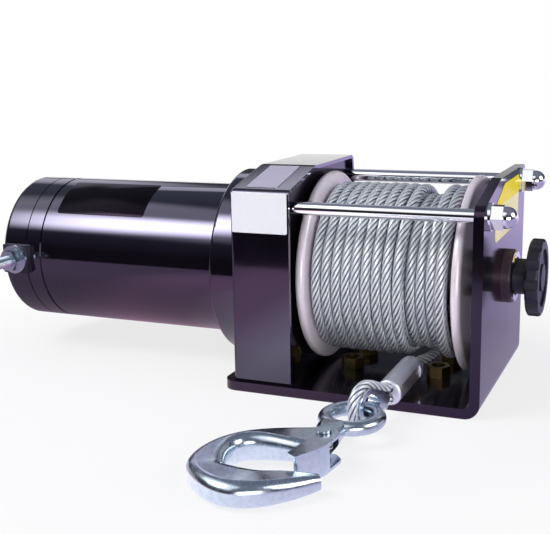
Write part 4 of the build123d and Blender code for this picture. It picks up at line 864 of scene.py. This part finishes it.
class WINCH_OT_stage(bpy.types.Operator):
    """Set up the camera, the pale floor, the lamps and the white surroundings"""
    bl_idname = "winch.stage"
    bl_label = "Stage"

    def execute(self, context):
        stage = context.scene.winch_stage
        self.camera(stage)
        self.floor(stage)
        self.lamps()
        self.surroundings(context.scene)
        context.scene.view_settings.view_transform = "Standard"
        return {"FINISHED"}

    def camera(self, stage):
        """The camera at the place and angle of the settings."""
        lens = bpy.data.cameras.new("camera")
        lens.sensor_fit = "HORIZONTAL"
        lens.lens = stage.focal * lens.sensor_width
        lens.shift_x, lens.shift_y = stage.centre
        lens.clip_start = 0.01
        holder = bpy.data.objects.new("camera", lens)
        turn = Euler((math.radians(90) - stage.pitch, 0.0, stage.yaw)).to_matrix()
        turn = turn @ Matrix.Rotation(stage.roll, 3, "Z")
        holder.matrix_world = Matrix.LocRotScale(Vector(stage.place), turn, None)
        bpy.context.scene.collection.objects.link(holder)
        bpy.context.scene.camera = holder

    def floor(self, stage):
        """A sheet of pale paper: white far off to the camera, a glowing painted reflection to mirrored rays, plain
        to all other light.
        """
        clear_selection()
        bpy.ops.mesh.primitive_plane_add(size=1.0, location=(0.0, FLOOR_FRONT_Y + FLOOR_DEPTH / 2, 0.0))
        floor = named("floor")
        floor.scale = (FLOOR_WIDTH, FLOOR_DEPTH, 1.0)
        bpy.ops.object.transform_apply(location=True, rotation=False, scale=True)
        paper, tree, shader = finish_nodes("Pale paper", Roughness=0.9, Specular_IOR_Level=0.2)
        grain = use_group(tree, "Grain", Scale=40.0, Detail_scale=900.0)
        tree.links.new(between(tree, grain.outputs["Value"], shade(stage.floor, 0.985), tuple(stage.floor)),
                       shader.inputs["Base Color"])
        path = tree.nodes.new("ShaderNodeLightPath").outputs
        mirrored = joined(tree, "ShaderNodeMath", {0: path["Is Glossy Ray"], 1: path["Is Transmission Ray"]},
                          operation="MAXIMUM")
        at = tree.nodes.new("ShaderNodeTexCoord").outputs["Object"]
        away = joined(tree, "ShaderNodeVectorMath", {0: at, 1: (-0.06, -0.03, 0.0)}, operation="DISTANCE")
        white = joined(tree, "ShaderNodeMapRange", {
            "Value": away.outputs["Value"], "From Min": 0.15, "From Max": 0.27, "To Min": 0.78, "To Max": 1.0})
        looked = joined(tree, "ShaderNodeMath", {0: path["Is Camera Ray"], 1: white.outputs["Result"]},
                        operation="MULTIPLY")
        share = joined(tree, "ShaderNodeMath", {0: looked.outputs[0], 1: mirrored.outputs[0]}, operation="MAXIMUM")
        # Mirrored rays see the paper glow with the painted reflection; the camera sees it white
        pale = joined(tree, "ShaderNodeMix", {"Factor": path["Is Camera Ray"]}, data_type="RGBA")
        tree.links.new(self.painted_reflection(tree, at), pale.inputs[6])
        pale.inputs[7].default_value = (1.0, 1.0, 1.0, 1.0)
        glow = joined(tree, "ShaderNodeEmission", {"Color": pale.outputs[2], "Strength": 1.0})
        both = joined(tree, "ShaderNodeMixShader", {0: share.outputs[0], 1: shader.outputs[0], 2: glow.outputs[0]})
        tree.links.new(both.outputs[0], tree.nodes["Material Output"].inputs["Surface"])
        floor.data.materials.append(paper)

    def painted_reflection(self, tree, at):
        """A painted reflection that glossy surfaces see in the paper, which glows: lilac left, white in the middle
        and violet right, with painted shade under and behind the motor on the left and a painted glow further back
        on the right.
        """
        apart = joined(tree, "ShaderNodeSeparateXYZ", {"Vector": at})
        along = joined(tree, "ShaderNodeMapRange", {
            "Value": apart.outputs["X"], "From Min": -0.30, "From Max": 0.20})
        ramp = joined(tree, "ShaderNodeValToRGB", {"Fac": along.outputs["Result"]})
        stops = ramp.color_ramp.elements
        stops[0].position, stops[0].color = 0.20, (0.32, 0.25, 0.34, 1.0)
        stops[1].position, stops[1].color = 0.76, (0.35, 0.30, 0.50, 1.0)
        stops.new(0.28).color = (0.58, 0.36, 0.51, 1.0)
        stops.new(0.36).color = (0.58, 0.38, 0.53, 1.0)
        stops.new(0.46).color = (0.97, 0.96, 1.0, 1.0)
        right = joined(tree, "ShaderNodeMapRange", {
            "Value": apart.outputs["X"], "From Min": -0.02, "From Max": 0.06})
        # Painted shade on the left, dimmer from the front to under the motor; painted glow on the right, brighter
        # further back
        left_painted_shade = joined(tree, "ShaderNodeMapRange", {
            "Value": apart.outputs["Y"], "From Min": -0.12, "From Max": 0.0, "To Min": 1.5, "To Max": 0.6})
        right_painted_glow = joined(tree, "ShaderNodeMapRange", {
            "Value": apart.outputs["Y"], "From Min": 0.10, "From Max": 0.50, "To Min": 1.2, "To Max": 2.7})
        level = joined(tree, "ShaderNodeMix", {
            "Factor": right.outputs["Result"], 2: left_painted_shade.outputs["Result"], 3: right_painted_glow.outputs["Result"]})
        tinted = joined(tree, "ShaderNodeVectorMath", {0: ramp.outputs["Color"]}, operation="SCALE")
        tree.links.new(level.outputs[0], tinted.inputs["Scale"])
        return tinted.outputs["Vector"]

    def lamps(self):
        """A broad key, a hot spot for the motor's band, a front fill, two rims behind and a fill on the right."""
        soft_box("key_box", (-0.33, -0.34, 0.53), (-0.06, -0.03, 0.07), 1.10, 0.60, 1.0)
        soft_box("hot_box", (-0.41, -0.37, 0.50), (-0.12, -0.03, 0.08), 0.50, 0.36, 13.0,
                 fade=0.42, roll=math.radians(25))
        soft_box("front_box", (0.36, -0.66, 0.08), (0.0, -0.04, 0.05), 0.56, 0.34, 5.8)
        soft_box("rim_box", (-0.47, 0.72, 0.72), (-0.08, 0.0, 0.09), 0.75, 0.24, 1.0, tint=(0.88, 0.85, 1.0))
        soft_box("motor_box", (-0.78, 0.62, 0.45), (-0.16, 0.0, 0.09), 0.66, 0.46, 0.7,
                 fade=0.3, tint=(0.88, 0.83, 1.0))
        soft_box("right_box", (0.70, -0.10, 0.42), (0.05, 0.0, 0.07), 0.55, 0.50, 5.0, tint=(0.98, 0.96, 1.0))

    def surroundings(self, scene):
        """A white backdrop behind the winch, a dim ceiling and a dark room in front; all white to the camera."""
        world = bpy.data.worlds.new("surroundings")
        scene.world = world
        world.use_nodes = True
        tree = world.node_tree
        room = tree.nodes["Background"]
        at = tree.nodes.new("ShaderNodeTexCoord").outputs["Generated"]
        apart = joined(tree, "ShaderNodeSeparateXYZ", {"Vector": at})
        rise = joined(tree, "ShaderNodeMapRange", {
            "Value": apart.outputs["Z"], "From Min": 0.10, "From Max": 0.80})
        tree.links.new(between(tree, rise.outputs["Result"], (0.014, 0.012, 0.017), (0.17, 0.19, 0.25)),
                       room.inputs["Color"])
        behind = joined(tree, "ShaderNodeMapRange", {
            "Value": apart.outputs["Y"], "From Min": -0.1, "From Max": 0.3})
        low = joined(tree, "ShaderNodeMapRange", {
            "Value": apart.outputs["Z"], "From Min": 0.09, "From Max": 0.16, "To Min": 1.0, "To Max": 0.0})
        sheet = joined(tree, "ShaderNodeMath", {0: behind.outputs["Result"], 1: low.outputs["Result"]},
                       operation="MULTIPLY")
        path = tree.nodes.new("ShaderNodeLightPath").outputs
        mirrored = joined(tree, "ShaderNodeMath", {0: path["Is Glossy Ray"], 1: path["Is Transmission Ray"]},
                          operation="MAXIMUM")
        in_sheet = joined(tree, "ShaderNodeMath", {0: mirrored.outputs[0], 1: sheet.outputs[0]},
                          operation="MULTIPLY")
        seen = joined(tree, "ShaderNodeMath", {0: path["Is Camera Ray"], 1: in_sheet.outputs[0]},
                      operation="MAXIMUM")
        white = joined(tree, "ShaderNodeBackground", {"Color": (1.0, 1.0, 1.0, 1.0), "Strength": 1.0})
        both = joined(tree, "ShaderNodeMixShader", {0: seen.outputs[0], 1: room.outputs[0], 2: white.outputs[0]})
        tree.links.new(both.outputs[0], tree.nodes["World Output"].inputs["Surface"])


# Panel and registration

OPERATORS = (
    WINCH_OT_finishes, WINCH_OT_stage, WINCH_OT_drum_rope, WINCH_OT_rope_end, WINCH_OT_labels, WINCH_OT_terminals,
)
SETTINGS = {
    "winch_rope": WinchRopeSettings,
    "winch_finish": WinchFinishSettings,
    "winch_labels": WinchLabelSettings,
    "winch_stage": WinchStageSettings,
}


class WINCH_PT_panel(bpy.types.Panel):
    bl_label = "Winch"
    bl_idname = "WINCH_PT_panel"
    bl_space_type = "VIEW_3D"
    bl_region_type = "UI"
    bl_category = "Winch"

    def draw(self, context):
        for name, kind in SETTINGS.items():
            box = self.layout.box()
            for key in kind.__annotations__:
                box.prop(getattr(context.scene, name), key)
        for operator in OPERATORS:
            self.layout.operator(operator.bl_idname)


def register():
    for kind in (*SETTINGS.values(), *OPERATORS, WINCH_PT_panel):
        bpy.utils.register_class(kind)
    for name, kind in SETTINGS.items():
        setattr(bpy.types.Scene, name, bpy.props.PointerProperty(type=kind))


def unregister():
    for name in SETTINGS:
        delattr(bpy.types.Scene, name)
    for kind in (WINCH_PT_panel, *reversed(OPERATORS), *reversed(list(SETTINGS.values()))):
        bpy.utils.unregister_class(kind)


def main():
    register()
    bpy.ops.winch.finishes()
    bpy.ops.winch.stage()
    bpy.ops.winch.drum_rope()
    bpy.ops.winch.rope_end()
    bpy.ops.winch.labels()
    bpy.ops.winch.terminals()


if __name__ == "__main__":
    main()
